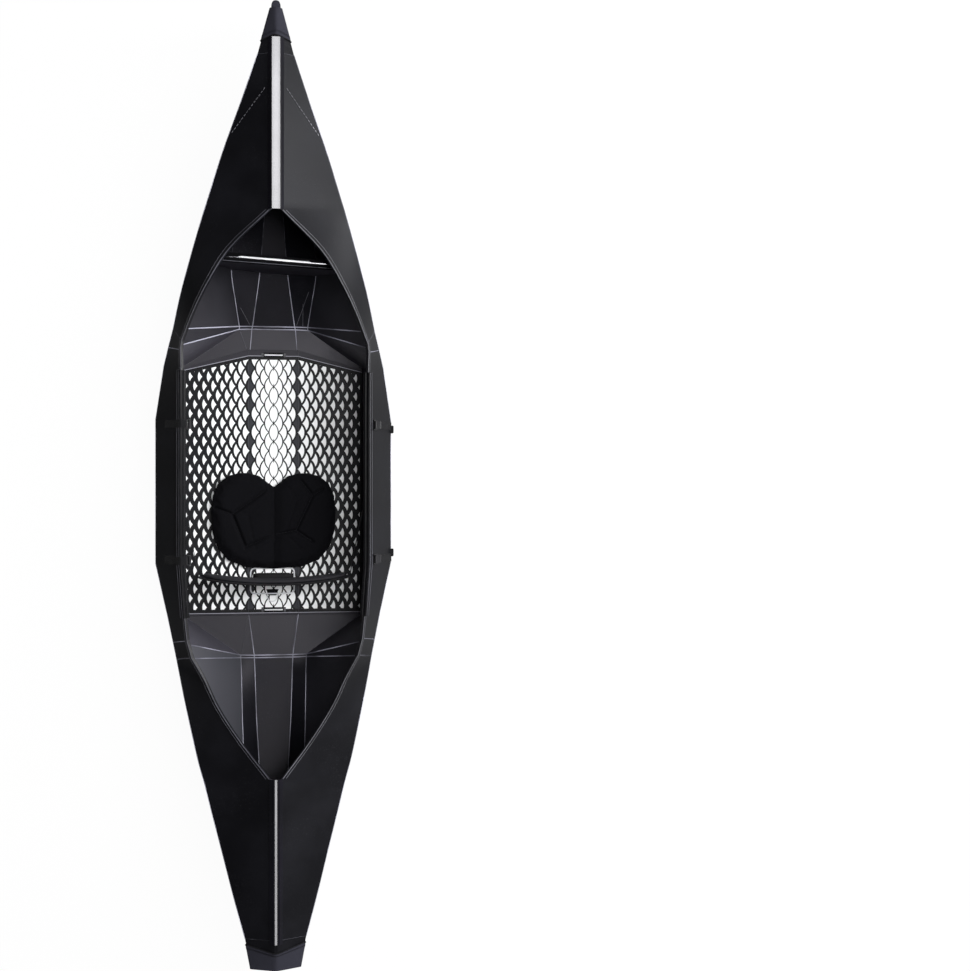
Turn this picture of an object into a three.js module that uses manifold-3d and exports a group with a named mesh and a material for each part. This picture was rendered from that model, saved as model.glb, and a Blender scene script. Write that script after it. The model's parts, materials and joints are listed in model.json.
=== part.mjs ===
// A one-seat folding kayak. One creased sheet is opened out into a hull with a decked bow and stern and an
// open cockpit, and it is held in shape by clip-on rails, strap buckles, a floor board and two end sleeves.
// Millimetres. +Y points to the bow, +X to starboard and +Z up. The origin is under the middle of the floor.
import * as THREE from 'three';
import { mergeVertices } from 'three/addons/utils/BufferGeometryUtils.js';
import Module from 'manifold-3d';

const wasm = await Module();
wasm.setup();

// Overall size
const halfLength = 1475;
const halfBeam = 367;
const ridgeHeight = 330;

// The sheet and the gaps that its folded and fitted pieces keep
const sheetThickness = 4.5;
const foldGap = 0.4;
const deckFoldGap = 1.4;
const trimFoldGap = 2.4;
const fitGap = 0.3;
const cutOverrun = 2;
const seamHalfGap = 5;
const rimBandDepth = 30;
const rimSteps = 4;
const panelSteps = 4;
const middleSteps = 6;

// Hull lines of the starboard half, from the stern fold to the bow fold. Each row is a station: the share
// of the half length along, of the half beam out and of the ridge height up.
const keelShares = [
  [-0.936, 0.068, 0.327], [-0.857, 0.084, 0.255], [-0.776, 0.101, 0.188], [-0.671, 0.123, 0.121],
  [-0.608, 0.134, 0.088], [-0.597, 0.136, 0.082], [-0.508, 0.155, 0.042], [-0.437, 0.163, 0.018],
  [-0.4, 0.166, 0.008], [-0.377, 0.169, 0.002], [-0.3715, 0.169, 0], [-0.28, 0.218, 0],
  [-0.164, 0.218, 0], [0.14, 0.218, 0], [0.252, 0.218, 0], [0.344, 0.191, 0],
  [0.35, 0.185, 0.002], [0.4, 0.158, 0.018], [0.468, 0.123, 0.042], [0.536, 0.101, 0.073],
  [0.576, 0.09, 0.094], [0.583, 0.087, 0.097], [0.704, 0.065, 0.176], [0.792, 0.044, 0.255],
  [0.892, 0.022, 0.364],
];
const chineShares = [
  [-0.936, 0.131, 0.53], [-0.857, 0.169, 0.455], [-0.776, 0.207, 0.379], [-0.671, 0.245, 0.303],
  [-0.608, 0.264, 0.255], [-0.597, 0.267, 0.245], [-0.508, 0.281, 0.167], [-0.437, 0.286, 0.091],
  [-0.4, 0.289, 0.042], [-0.377, 0.292, 0.005], [-0.3715, 0.292, 0.001], [-0.2845, 0.79, 0],
  [-0.164, 0.79, 0], [0.14, 0.79, 0], [0.262, 0.79, 0], [0.344, 0.305, 0.001],
  [0.35, 0.305, 0.005], [0.4, 0.338, 0.067], [0.468, 0.376, 0.136], [0.536, 0.349, 0.2],
  [0.576, 0.311, 0.242], [0.583, 0.305, 0.248], [0.704, 0.204, 0.345], [0.792, 0.131, 0.455],
  [0.892, 0.065, 0.606],
];
const sheerShares = [
  [-0.936, 0.253, 0.873], [-0.857, 0.341, 0.83], [-0.776, 0.425, 0.794], [-0.671, 0.534, 0.755],
  [-0.608, 0.599, 0.733], [-0.597, 0.612, 0.73], [-0.508, 0.698, 0.691], [-0.437, 0.76, 0.648],
  [-0.39, 0.798, 0.612], [-0.363, 0.82, 0.585], [-0.328, 0.85, 0.555], [-0.271, 0.9, 0.509],
  [-0.164, 1, 0.439], [0.14, 1, 0.439], [0.252, 0.929, 0.497], [0.291, 0.891, 0.521],
  [0.33, 0.85, 0.555], [0.395, 0.793, 0.606], [0.478, 0.703, 0.673], [0.536, 0.635, 0.712],
  [0.576, 0.586, 0.736], [0.587, 0.572, 0.739], [0.704, 0.423, 0.779], [0.792, 0.292, 0.845],
  [0.892, 0.15, 0.918],
];
// The edge line is the cockpit rim between the two points of the cockpit, and the ridge beyond them.
const edgeShares = [
  [-0.936, 0, 1], [-0.857, 0, 1], [-0.776, 0, 1], [-0.671, 0, 1],
  [-0.608, 0, 1], [-0.603, 0.057, 0.979], [-0.527, 0.294, 0.903], [-0.4515, 0.488, 0.852],
  [-0.4, 0.586, 0.833], [-0.355, 0.687, 0.821], [-0.32, 0.725, 0.812], [-0.273, 0.744, 0.806],
  [-0.164, 0.774, 0.803], [0.14, 0.774, 0.803], [0.239, 0.774, 0.806], [0.281, 0.779, 0.809],
  [0.299, 0.771, 0.812], [0.36, 0.678, 0.824], [0.42, 0.561, 0.848], [0.49, 0.381, 0.897],
  [0.568, 0.057, 0.979], [0.574, 0, 1], [0.704, 0, 1], [0.792, 0, 1],
  [0.892, 0, 1],
];

// Station numbers of the folds that cross the sheet, and the line number of the rim band between the
// sheer and the rim
const at = {
  sternFold: 0,
  sternSeamStart: 4,
  sternPoint: 5,
  sternDeckFold: 9,
  sternFloorFold: 10,
  sternRailEnd: 11,
  sternKnuckle: 12,
  bowKnuckle: 13,
  bowRailEnd: 14,
  bowFloorFold: 15,
  bowDeckFold: 16,
  bowPoint: 20,
  bowSeamStart: 21,
  bowFold: 24,
};
const lineNumbers = { band: 3.5 };

// The folded ends under the sleeves: keel, chine, sheer and top of each end, as shares out and up
const bowStemShares = [[0.01, 0.46], [0.022, 0.7], [0.046, 0.955], [0.012, 0.985]];
const sternBoardShares = [[0.054, 0.37], [0.106, 0.56], [0.205, 0.891], [0.014, 0.98]];
const bowHollowLength = 70;
const sternBoardThickness = 12;

// End sleeves
const sleeveThickness = 3;
const bowSleeveLength = 116;
const bowSleeveScoop = 15;
const sternSleeveLength = 90;
const sternSleeveDip = 20;
const sternSleeveSkirt = 10;
const sternDipHalfWidth = 23;
const sternShoulderShare = 0.55;
const pullTabReach = 19;
const pullTabWidth = 28;
const pullTabThickness = 9;

// Seam rails over the ridge
const bowSeamRailHalfWidth = 24;
const sternSeamRailHalfWidth = 20;
const seamRailWall = 3;
const seamRailGap = 0.5;
const seamRailCrownRun = 3.5;
const seamRailCrownRise = 3;
const seamRailWebHalf = 1.5;
const seamRailLip = 12;
const seamRailOverhang = 6;
const bowSeamRailReach = 14;
const sternSeamRailReach = 11;

// Rim rails, rim trim
const rimRailDepth = 14;
const rimRailHead = 7;
const rimRailBar = 8;
const rimRailGroove = 3;
const rimRailChamfer = 2.5;
const trimDepth = 10;
const trimWall = 2;

// Straps and buckles
const bowStrapFromFold = 16.5;
const sternStrapFromFold = 13.9;
const strapWidth = 25;
const strapThickness = 1.6;
const strapDrop = 45;
const strapTail = 70;
const buckleFromRim = 22;
const buckleLength = 36;
const buckleWidth = 31;
const buckleBase = 2;
const cheekThickness = 2.6;
const cheekLength = 17;
const pinHeight = 7;
const pinRadius = 2;
const pinClearance = 0.3;
const leverHeadRadius = 4;
const leverThickness = 3;
const leverSideGap = 0.5;
const leverTipRise = 2.5;
const hangingBuckleDrop = 8;

// Floor board
const boardThickness = 5;
const boardSideGap = 4;
const boardBowLift = 62;
const boardFoldGap = 0.4;
const boardEndGap = 2;
const tabWidth = 78;
const tabLength = 16;
const tabThickness = 2;
const tabFromEnd = 9;

// Seat cushion
const seatWidth = 405;
const seatLength = 316;
const seatHeight = 38;
const seatFromBack = 35;
const seamWidth = 11;
const seamDepth = 6;
const seatRound = 48;

// Back rest
const backFromSheer = 130.5;
const backHeight = 158;
const backThickness = 6;
const backWrap = 26;
const backY = -304;
const backWidth = (halfBeam - backFromSheer) * 2;
const seatCentreY = backY + seatFromBack + seatLength / 2;
const backBottom = 78;
const padThickness = 13;
const padInset = 22;
const hingeHeight = 62;
const hingePinRadius = 4;
const hingeBoreRadius = 4.5;
const hingeEarThickness = 5;
const hingeEarHalfGap = 40;
const hingeEarRadius = 10;
const hingeFootWidth = 132;
const hingeFootLength = 32;
const hingeFootThickness = 3;
const stemWidth = 68;
const sideStrapWidth = 20;
const sideStrapThickness = 1.6;
const sideStrapForward = 205;

// Foot brace
const braceY = 690;
const braceThickness = 9;
const braceTop = 212;
const braceFlange = 20;
const braceClearance = 1;
const braceSkewDegrees = 3.4;

const point = (x, y, z) => new THREE.Vector3(x, y, z);
const moved = (start, direction, distance) => start.clone().addScaledVector(direction, distance);
const mirrored = place => point(-place.x, place.y, place.z);
const direction = (from, to) => to.clone().sub(from).normalize();
const between = (from, to, share) => from.clone().lerp(to, share);

// Joins a row of closed rings with the same number of points into one closed body. The strips that start at
// the turned steps are split along their other diagonal, so that they lie close to the piece they touch.
function loft(rings, turnedSteps = [], caps = null) {
  const count = rings[0].length;
  const positions = rings.flat().flatMap(place => [place.x, place.y, place.z]);
  const lastStart = (rings.length - 1) * count;
  const faces = [];
  for (const [a, b, c] of caps ?? capOf(rings[rings.length - 1])) {
    faces.push(lastStart + a, lastStart + b, lastStart + c);
  }
  for (const [a, b, c] of caps ?? capOf(rings[0])) {
    faces.push(a, c, b);
  }
  for (let ring = 0; ring + 1 < rings.length; ring += 1) {
    for (let step = 0; step < count; step += 1) {
      const near = ring * count + step;
      const next = ring * count + (step + 1) % count;
      if (turnedSteps.includes(step)) {
        faces.push(near, next, near + count, next, next + count, near + count);
      } else {
        faces.push(near, next, next + count, near, next + count, near + count);
      }
    }
  }
  const geometry = new THREE.BufferGeometry();
  geometry.setAttribute('position', new THREE.Float32BufferAttribute(positions, 3));
  geometry.setIndex(faces);
  return facingOut(geometry);
}

// Fills a ring with triangles that run the same way round as the ring
function capOf(ring) {
  const normal = point(0, 0, 0);
  ring.forEach((place, step) => normal.add(place.clone().cross(ring[(step + 1) % ring.length])));
  const first = direction(ring[0], ring[1]);
  const second = normal.clone().cross(first).normalize();
  const flat = ring.map(place => new THREE.Vector2(place.dot(first), place.dot(second)));
  return THREE.ShapeUtils.triangulateShape(flat, []).map(([a, b, c]) => {
    const turn = flat[b].clone().sub(flat[a]).cross(flat[c].clone().sub(flat[a]));
    return turn > 0 ? [a, b, c] : [a, c, b];
  });
}

// Turns the faces of a closed body outwards
function facingOut(geometry) {
  const index = geometry.index.array;
  const position = geometry.attributes.position;
  const corner = step => new THREE.Vector3().fromBufferAttribute(position, index[step]);
  let volume = 0;
  for (let face = 0; face < index.length; face += 3) {
    volume += corner(face).dot(corner(face + 1).cross(corner(face + 2)));
  }
  if (volume < 0) {
    for (let face = 0; face < index.length; face += 3) {
      [index[face + 1], index[face + 2]] = [index[face + 2], index[face + 1]];
    }
  }
  return geometry;
}

// Leaves only merged positions, as cutting and joining need
function bare(geometry) {
  const plain = geometry.clone();
  plain.deleteAttribute('normal');
  plain.deleteAttribute('uv');
  return mergeVertices(plain);
}

function solid(geometry) {
  const plain = bare(geometry);
  const vertProperties = new Float32Array(plain.attributes.position.array);
  const triVerts = new Uint32Array(plain.index.array);
  return new wasm.Manifold(new wasm.Mesh({ numProp: 3, vertProperties, triVerts }));
}

function geometryOf(body) {
  const mesh = body.getMesh();
  const geometry = new THREE.BufferGeometry();
  geometry.setAttribute('position', new THREE.BufferAttribute(mesh.vertProperties, 3));
  geometry.setIndex(new THREE.BufferAttribute(mesh.triVerts, 1));
  return geometry;
}

function joined(...geometries) {
  return geometryOf(geometries.map(solid).reduce((whole, piece) => whole.add(piece)));
}

function cut(geometry, ...cutters) {
  return geometryOf(cutters.map(solid).reduce((whole, cutter) => whole.subtract(cutter), solid(geometry)));
}

// A box from its lowest and highest corners
function boxBetween(low, high) {
  const size = high.clone().sub(low);
  const box = new THREE.BoxGeometry(size.x, size.y, size.z);
  const middle = between(low, high, 0.5);
  return bare(box.translate(middle.x, middle.y, middle.z));
}

// An outline of [first, second] pairs in the plane across an axis, carried along that axis
function prism(outline, from, to, place) {
  return loft([from, to].map(reach => outline.map(([first, second]) => place(first, second, reach))));
}

const standing = (x, y, z) => point(x, y, z);
const crossways = (x, z, y) => point(x, y, z);
const sideways = (y, z, x) => point(x, y, z);

// The hull sheet: places on its outer face by line (1 keel, 2 chine, 3 sheer, 4 rim) and station
const hullLines = [null, keelShares, chineShares, sheerShares, edgeShares].map(shares => shares
  && shares.map(([alongShare, outShare, upShare]) => point(
    Math.max(outShare * halfBeam, shares === edgeShares ? seamHalfGap : 0),
    alongShare * halfLength,
    upShare * ridgeHeight,
  )));

// The rim band is a line of its own at a fixed depth below the rim, between the sheer and the rim
const { band } = lineNumbers;
function outer(line, station) {
  if (line === band) {
    return moved(outer(4, station), direction(outer(4, station), outer(3, station)), rimBandDepth);
  }
  return line > 0 ? hullLines[line][station].clone() : mirrored(hullLines[-line][station]);
}

function tangent(line, station) {
  const places = hullLines[Math.ceil(Math.abs(line))];
  const here = places[station];
  const way = point(0, 0, 0);
  if (station > 0) {
    way.add(direction(places[station - 1], here));
  }
  if (station + 1 < places.length) {
    way.add(direction(here, places[station + 1]));
  }
  return way.normalize();
}

// The way across the strip of sheet that ends at a line, and that strip's outward normal there
function across(line, station) {
  return direction(outer(line === 1 ? -1 : line - 1, station), outer(line, station));
}

function normalAt(line, station, strip) {
  return tangent(line, station).cross(across(strip, station)).normalize();
}

// The inner face of the sheet, mitred where two strips meet along a fold
function inner(line, station) {
  if (line < 0) {
    return mirrored(inner(-line, station));
  }
  if (line === 4 || line === band) {
    return moved(outer(line, station), normalAt(4, station, 4), -sheetThickness);
  }
  const before = normalAt(line, station, line);
  const after = normalAt(line, station, line + 1);
  const mitre = before.clone().add(after).divideScalar(1 + before.dot(after));
  return moved(outer(line, station), mitre, -sheetThickness);
}

// One panel of the sheet, between two stations and over a row of lines, with half a fold gap at each edge.
// The decks and the strips beside the cockpit keep a wider gap across, because the decks open. Inner faces
// are split along the same diagonals as outer ones, so that a twisted panel keeps its thickness.
function panel(lines, first, last, steps = panelSteps) {
  const halfGap = foldGap / 2;
  const start = lines[0];
  const end = lines[lines.length - 1];
  const rings = [];
  for (let station = first; station <= last; station += 1) {
    const startOver = direction(outer(start, station), outer(lines[1], station));
    const endOver = direction(outer(end, station), outer(lines[lines.length - 2], station));
    const endGap = (end === 4 ? deckFoldGap / 2 : halfGap) * ((station === first) - (station === last));
    const place = (line, base) => {
      const along = line < 0 ? mirrored(tangent(-line, station)) : tangent(line, station);
      const shifted = moved(base, along, endGap);
      if (line === start) {
        return moved(shifted, startOver, halfGap);
      }
      return line === end && line !== 4 ? moved(shifted, endOver, halfGap) : shifted;
    };
    rings.push([
      ...lines.map(line => place(line, outer(line, station))),
      ...lines.map(line => place(line, inner(line, station))).reverse(),
    ]);
  }
  const turned = end === 4 ? [] : lines.map((line, step) => step);
  return loft(refined(rings, end === 4 ? rimSteps : steps), turned, sheetCaps(lines));
}

// Puts further rings between the given ones, so that a twisted strip and its channel lie close
function refined(rings, count) {
  const steps = Array.from({ length: count }, (item, step) => step / count);
  const inserted = rings.slice(1).flatMap((next, number) => steps.map(share => rings[number]
    .map((place, step) => between(place, next[step], share))));
  return [...inserted, rings[rings.length - 1]];
}

// The triangles over the cut end of a panel, split alike on both sides of a fold
function sheetCaps(lines) {
  const last = lines.length * 2 - 1;
  return lines.slice(1).flatMap((line, step) => {
    const [nearOut, farOut, farIn, nearIn] = [step, step + 1, last - step - 1, last - step];
    return Math.abs(lines[step]) <= Math.abs(line)
      ? [[nearOut, farOut, farIn], [nearOut, farIn, nearIn]]
      : [[nearOut, farOut, nearIn], [farOut, farIn, nearIn]];
  });
}

// A frame on the rim or the ridge: a depth runs into the sheet, a height stands out of its outer face
function rimFrame(station) {
  const base = outer(4, station);
  const into = direction(base, outer(3, station));
  const out = normalAt(4, station, 4);
  return (depth, height) => moved(moved(base, into, depth), out, height);
}

// A channel with one outline, clipped over the rim between two stations
function rimChannel(outline, first, last, startGap, endGap) {
  const rings = [];
  for (let station = first; station <= last; station += 1) {
    const frame = rimFrame(station);
    const gap = startGap * (station === first) - endGap * (station === last);
    rings.push(outline.map(([depth, height]) => moved(frame(depth, height), tangent(4, station), gap)));
  }
  return loft(refined(rings, rimSteps));
}

const slotOut = fitGap;
const slotIn = -sheetThickness - fitGap;

const trimOutline = [
  [-fitGap - trimWall, slotOut + trimWall],
  [trimDepth, slotOut + trimWall],
  [trimDepth, slotOut],
  [-fitGap, slotOut],
  [-fitGap, slotIn],
  [trimDepth, slotIn],
  [trimDepth, slotIn - trimWall],
  [-fitGap - trimWall, slotIn - trimWall],
];

// Two bars side by side with a groove between them, closed over the rim
const rimRailOutline = [
  [-rimRailHead, slotOut + rimRailBar - rimRailChamfer],
  [-rimRailHead + rimRailChamfer, slotOut + rimRailBar],
  [rimRailDepth, slotOut + rimRailBar],
  [rimRailDepth, slotOut],
  [-fitGap, slotOut],
  [-fitGap, slotIn],
  [rimRailDepth, slotIn],
  [rimRailDepth, slotIn - rimRailBar],
  [-rimRailHead + rimRailChamfer, slotIn - rimRailBar],
  [-rimRailHead, slotIn - rimRailBar + rimRailChamfer],
  [-rimRailHead, slotIn],
  [-rimRailHead + rimRailGroove, -sheetThickness / 2],
  [-rimRailHead, slotOut],
];

function rimRail() {
  return joined(
    rimChannel(rimRailOutline, at.sternRailEnd, at.bowRailEnd, 0, 0),
    rimChannel(trimOutline, at.bowRailEnd, at.bowDeckFold, -cutOverrun, trimFoldGap / 2),
    rimChannel(trimOutline, at.sternDeckFold, at.sternRailEnd, trimFoldGap / 2, -cutOverrun),
  );
}

const bowTrim = () => rimChannel(trimOutline, at.bowDeckFold, at.bowPoint, trimFoldGap / 2, fitGap);
const sternTrim = () => rimChannel(trimOutline, at.sternPoint, at.sternDeckFold, fitGap, trimFoldGap / 2);

// The outline of a seam rail across the ridge: a roof with a flat crown, and on port a slot for that deck
function seamRailRing(station, halfWidth, shift, withSlot) {
  const frame = rimFrame(station);
  const starboard = (depth, height) => frame(depth, height).setY(outer(4, station).y + shift);
  const port = (depth, height) => mirrored(starboard(depth, height));
  const tip = (halfWidth - seamHalfGap) / -direction(outer(3, station), outer(4, station)).x;
  const roof = seamRailGap + seamRailWall;
  const crown = roof + seamRailCrownRise;
  const below = -sheetThickness - seamRailGap;
  const web = (height, side) => {
    const place = starboard(0, height);
    return point(side * seamRailWebHalf, place.y, place.z);
  };
  const top = [
    port(tip, roof),
    port(seamRailCrownRun, crown),
    starboard(seamRailCrownRun, crown),
    starboard(tip, roof),
    starboard(tip, seamRailGap),
    starboard(0, seamRailGap),
  ];
  const slot = [
    web(seamRailGap, 1),
    web(below - seamRailWall, 1),
    port(seamRailLip, below - seamRailWall),
    port(seamRailLip, below),
    web(below, -1),
    web(seamRailGap, -1),
  ];
  return [...top, ...(withSlot ? slot : []), port(0, seamRailGap), port(tip, seamRailGap)];
}

// The strips of that outline that lie against the port deck: under the roof and in the slot
const seamRailTurned = [12, 9];

function seamRail(first, last, halfWidth, reach) {
  const towardsBow = reach > 0;
  const [inboard, outboard] = towardsBow ? [first, last] : [last, first];
  const overhang = towardsBow ? -seamRailOverhang : seamRailOverhang;
  const clipped = [];
  for (let station = first; station <= last; station += 1) {
    const shift = station === inboard ? overhang : 0;
    const endShift = station === outboard ? -Math.sign(reach) * cutOverrun : 0;
    clipped.push(seamRailRing(station, halfWidth, shift + endShift, true));
  }
  const bridge = [-Math.sign(reach) * cutOverrun * 2, reach]
    .map(shift => seamRailRing(outboard, halfWidth, shift, false));
  return joined(loft(clipped, seamRailTurned), loft(bridge, seamRailTurned.slice(0, 1)));
}

// Insets (or, with a negative distance, swells) a ring that lies in one plane across the hull
function inset(ring, distance) {
  const count = ring.length;
  let area = 0;
  ring.forEach((place, step) => {
    const next = ring[(step + 1) % count];
    area += place.x * next.z - next.x * place.z;
  });
  const turn = Math.sign(area);
  return ring.map((place, step) => {
    const before = ring[(step + count - 1) % count];
    const after = ring[(step + 1) % count];
    const sideNormal = (from, to) => {
      const way = direction(from.clone().setY(0), to.clone().setY(0));
      return point(-way.z * turn, 0, way.x * turn);
    };
    const one = sideNormal(before, place);
    const other = sideNormal(place, after);
    const mitre = one.clone().add(other).divideScalar(1 + one.dot(other));
    return moved(place, mitre, distance);
  });
}

const wholeRing = half => [...half, ...half.map(mirrored).reverse()];

// The folded end of the hull: the ring at its fold, and the ring at its tip
function endRings(station, tipShares, tipY) {
  const fold = wholeRing([1, 2, 3, 4].map(line => outer(line, station)));
  const tip = wholeRing(tipShares.map(([outShare, upShare]) => point(
    outShare * halfBeam,
    tipY,
    upShare * ridgeHeight,
  )));
  return { fold, tip };
}

// The rings that an end and its sleeve share, from the sleeve's front edge to the tip
const sleeveSteps = 3;
function sleeveYs(tipY, length) {
  const front = tipY - Math.sign(tipY) * length;
  return Array.from({ length: sleeveSteps }, (item, step) => front + (tipY - front) * step / sleeveSteps);
}

const ringAt = (ends, y) => {
  const share = (y - ends.fold[0].y) / (ends.tip[0].y - ends.fold[0].y);
  return ends.fold.map((place, step) => between(place, ends.tip[step], share));
};

const bowEndY = halfLength - pullTabReach - sleeveThickness - fitGap;
const sternEndY = -halfLength + sleeveThickness + fitGap;
const bowEnds = endRings(at.bowFold, bowStemShares, bowEndY);
const sternEnds = endRings(at.sternFold, sternBoardShares, sternEndY);
const bowSleeveYs = sleeveYs(bowEndY, bowSleeveLength);
const sternSleeveYs = sleeveYs(sternEndY, sternSleeveLength);

// The bow end stays solid below the chine, where the sheet is folded double
function bowEnd() {
  const foldY = bowEnds.fold[0].y;
  const whole = loft([foldY + foldGap, ...bowSleeveYs].map(y => ringAt(bowEnds, y)).concat([bowEnds.tip]));
  const aboveKeel = ring => ring.filter((place, step) => step !== 0 && step !== ring.length - 1);
  const hollow = loft([foldY - cutOverrun, foldY + bowHollowLength]
    .map(y => inset(aboveKeel(ringAt(bowEnds, y)), sheetThickness)));
  return cut(whole, hollow);
}

function sternEnd() {
  const foldY = sternEnds.fold[0].y;
  const whole = loft([foldY - foldGap, ...sternSleeveYs]
    .map(y => ringAt(sternEnds, y)).concat([sternEnds.tip]));
  const hollow = loft([foldY + cutOverrun, sternEndY + sternBoardThickness]
    .map(y => inset(ringAt(sternEnds, y), sheetThickness)));
  return cut(whole, hollow);
}

// A stretched sleeve over one folded end, closed at the tip
function sleeve(ends, places, tipY) {
  const way = Math.sign(tipY);
  const cap = tipY + way * (fitGap + sleeveThickness);
  const rings = [...places.map(y => ringAt(ends, y)), ends.tip];
  const opening = ringAt(ends, places[0] - way * cutOverrun);
  const shell = loft([
    ...rings.map(ring => inset(ring, -fitGap - sleeveThickness)),
    inset(ends.tip, -fitGap).map(place => place.setY(cap)),
  ]);
  const room = loft([
    ...[opening, ...rings].map(ring => inset(ring, -fitGap)),
    inset(ends.tip, -fitGap).map(place => place.setY(tipY + way * fitGap)),
  ]);
  return { shell, room };
}

function bowSleeve() {
  const frontY = bowSleeveYs[0];
  const { shell, room } = sleeve(bowEnds, bowSleeveYs, bowEndY);
  const reach = halfBeam;
  const halfWidth = ringAt(bowEnds, frontY)[2].x;
  const scoopSteps = 8;
  const scoop = [];
  for (let step = 0; step <= scoopSteps; step += 1) {
    const side = 1 - 2 * step / scoopSteps;
    scoop.push([side * halfWidth, frontY + bowSleeveScoop * (1 - side * side)]);
  }
  scoop.push([-reach, frontY], [-reach, frontY - cutOverrun], [reach, frontY - cutOverrun], [reach, frontY]);
  return cut(shell, room, prism(scoop, -cutOverrun, ridgeHeight * 2, standing));
}

// The webbing pull tab, doubled over at the bow tip
function pullTab() {
  const root = bowEndY + fitGap + sleeveThickness + fitGap;
  const middle = ridgeHeight * (bowStemShares[2][1] + bowStemShares[3][1]) / 2;
  const half = pullTabThickness / 2;
  const neck = half / 2;
  const tip = halfLength;
  const outline = [
    [root, middle - neck],
    [tip - pullTabThickness, middle - half],
    [tip - half / 2, middle - half],
    [tip, middle],
    [tip - half / 2, middle + half],
    [tip - pullTabThickness, middle + half],
    [root, middle + neck],
  ];
  return prism(outline, -pullTabWidth / 2, pullTabWidth / 2, sideways);
}

function sternSleeve() {
  const frontY = sternSleeveYs[0];
  const { shell, room } = sleeve(sternEnds, sternSleeveYs, sternEndY);
  const reach = halfBeam;
  const halfWidth = ringAt(sternEnds, frontY)[2].x;
  const shoulder = halfWidth * sternShoulderShare;
  const front = frontY + cutOverrun;
  const wave = [
    [reach, frontY - sternSleeveSkirt],
    [halfWidth, frontY - sternSleeveSkirt],
    [shoulder, frontY],
    [sternDipHalfWidth, frontY - sternSleeveDip],
    [-sternDipHalfWidth, frontY - sternSleeveDip],
    [-shoulder, frontY],
    [-halfWidth, frontY - sternSleeveSkirt],
    [-reach, frontY - sternSleeveSkirt],
    [-reach, front],
    [reach, front],
  ];
  return cut(shell, room, prism(wave, -cutOverrun, ridgeHeight * 2, standing));
}

// A place on one hull line at a given distance along
function lineAt(line, y) {
  const places = hullLines[line];
  const next = Math.max(1, places.findIndex(place => place.y >= y));
  const share = (y - places[next - 1].y) / (places[next].y - places[next - 1].y);
  return between(places[next - 1], places[next], share);
}

// The clear room inside the hull sheet at a given distance along: keel, chine and sheer corners
function roomInside(y, clearance) {
  const half = [1, 2, 3].map(line => lineAt(line, y).setY(y));
  return inset(wholeRing(half), sheetThickness + clearance).slice(0, 3);
}

function footBrace() {
  const skew = Math.tan(THREE.MathUtils.degToRad(braceSkewDegrees));
  const side = sign => {
    const rough = roomInside(braceY, braceClearance);
    const corner = step => {
      const forward = braceY - sign * rough[step].x * skew + braceThickness / 2;
      return roomInside(forward, braceClearance)[step];
    };
    const [keel, chine, sheer] = [0, 1, 2].map(corner);
    const rise = (braceTop - chine.z) / (sheer.z - chine.z);
    return [keel, chine, between(chine, sheer, rise)].map(place => [sign * place.x, place.z]);
  };
  const outline = [...side(1), ...side(-1).reverse()];
  const ring = shift => outline.map(([x, z]) => point(x, braceY - x * skew + shift, z));
  const board = loft([ring(-braceThickness / 2), ring(braceThickness / 2)]);
  const [right, left] = [outline[2], outline[3]];
  const lowerRight = right[0] - braceFlange;
  const lowerLeft = left[0] + braceFlange;
  const lip = [braceThickness / 2 - cutOverrun, braceThickness / 2 + braceFlange].map(shift => [
    [lowerRight, braceTop - braceThickness / 2],
    [lowerRight, braceTop],
    [lowerLeft, braceTop],
    [lowerLeft, braceTop - braceThickness / 2],
  ].map(([x, z]) => point(x, braceY - x * skew + shift, z)));
  return joined(board, loft(lip));
}

// A band of webbing along a path of [x, z] corners, swelled outwards from the path by its thickness
function webbing(path, y, width) {
  const outwards = (step, distance) => {
    const here = path[step];
    const before = path[Math.max(0, step - 1)];
    const after = path[Math.min(path.length - 1, step + 1)];
    const side = (from, to) => {
      const length = Math.hypot(to[0] - from[0], to[1] - from[1]);
      return [(to[1] - from[1]) / length, (from[0] - to[0]) / length];
    };
    const one = step > 0 ? side(before, here) : side(here, after);
    const other = step + 1 < path.length ? side(here, after) : one;
    const spread = 1 + one[0] * other[0] + one[1] * other[1];
    const grow = distance / spread;
    return [here[0] + (one[0] + other[0]) * grow, here[1] + (one[1] + other[1]) * grow];
  };
  const near = path.map((place, step) => outwards(step, fitGap));
  const far = path.map((place, step) => outwards(step, fitGap + strapThickness));
  return prism([...near, ...far.reverse()], y - width / 2, y + width / 2, crossways);
}

// The middle section of the hull, where the straps lie: chine, sheer and rim, and the rail over the rim
const midChine = outer(2, at.bowKnuckle);
const midSheer = outer(3, at.bowKnuckle);
const midRim = outer(4, at.bowKnuckle);
const bowStrapY = midSheer.y - bowStrapFromFold;
const sternStrapY = outer(3, at.sternKnuckle).y + sternStrapFromFold;
const flat = place => [place.x, place.z];
const railCorner = (depth, height) => flat(rimFrame(at.bowKnuckle)(depth, height));

// Starboard: from the side, round the sheer and up to the buckle
function outboardStrap(y) {
  const start = moved(midSheer, direction(midSheer, midChine), strapDrop);
  const end = moved(midRim, direction(midRim, midSheer), buckleFromRim);
  return webbing([start, midSheer, end].map(flat), y, strapWidth);
}

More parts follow.
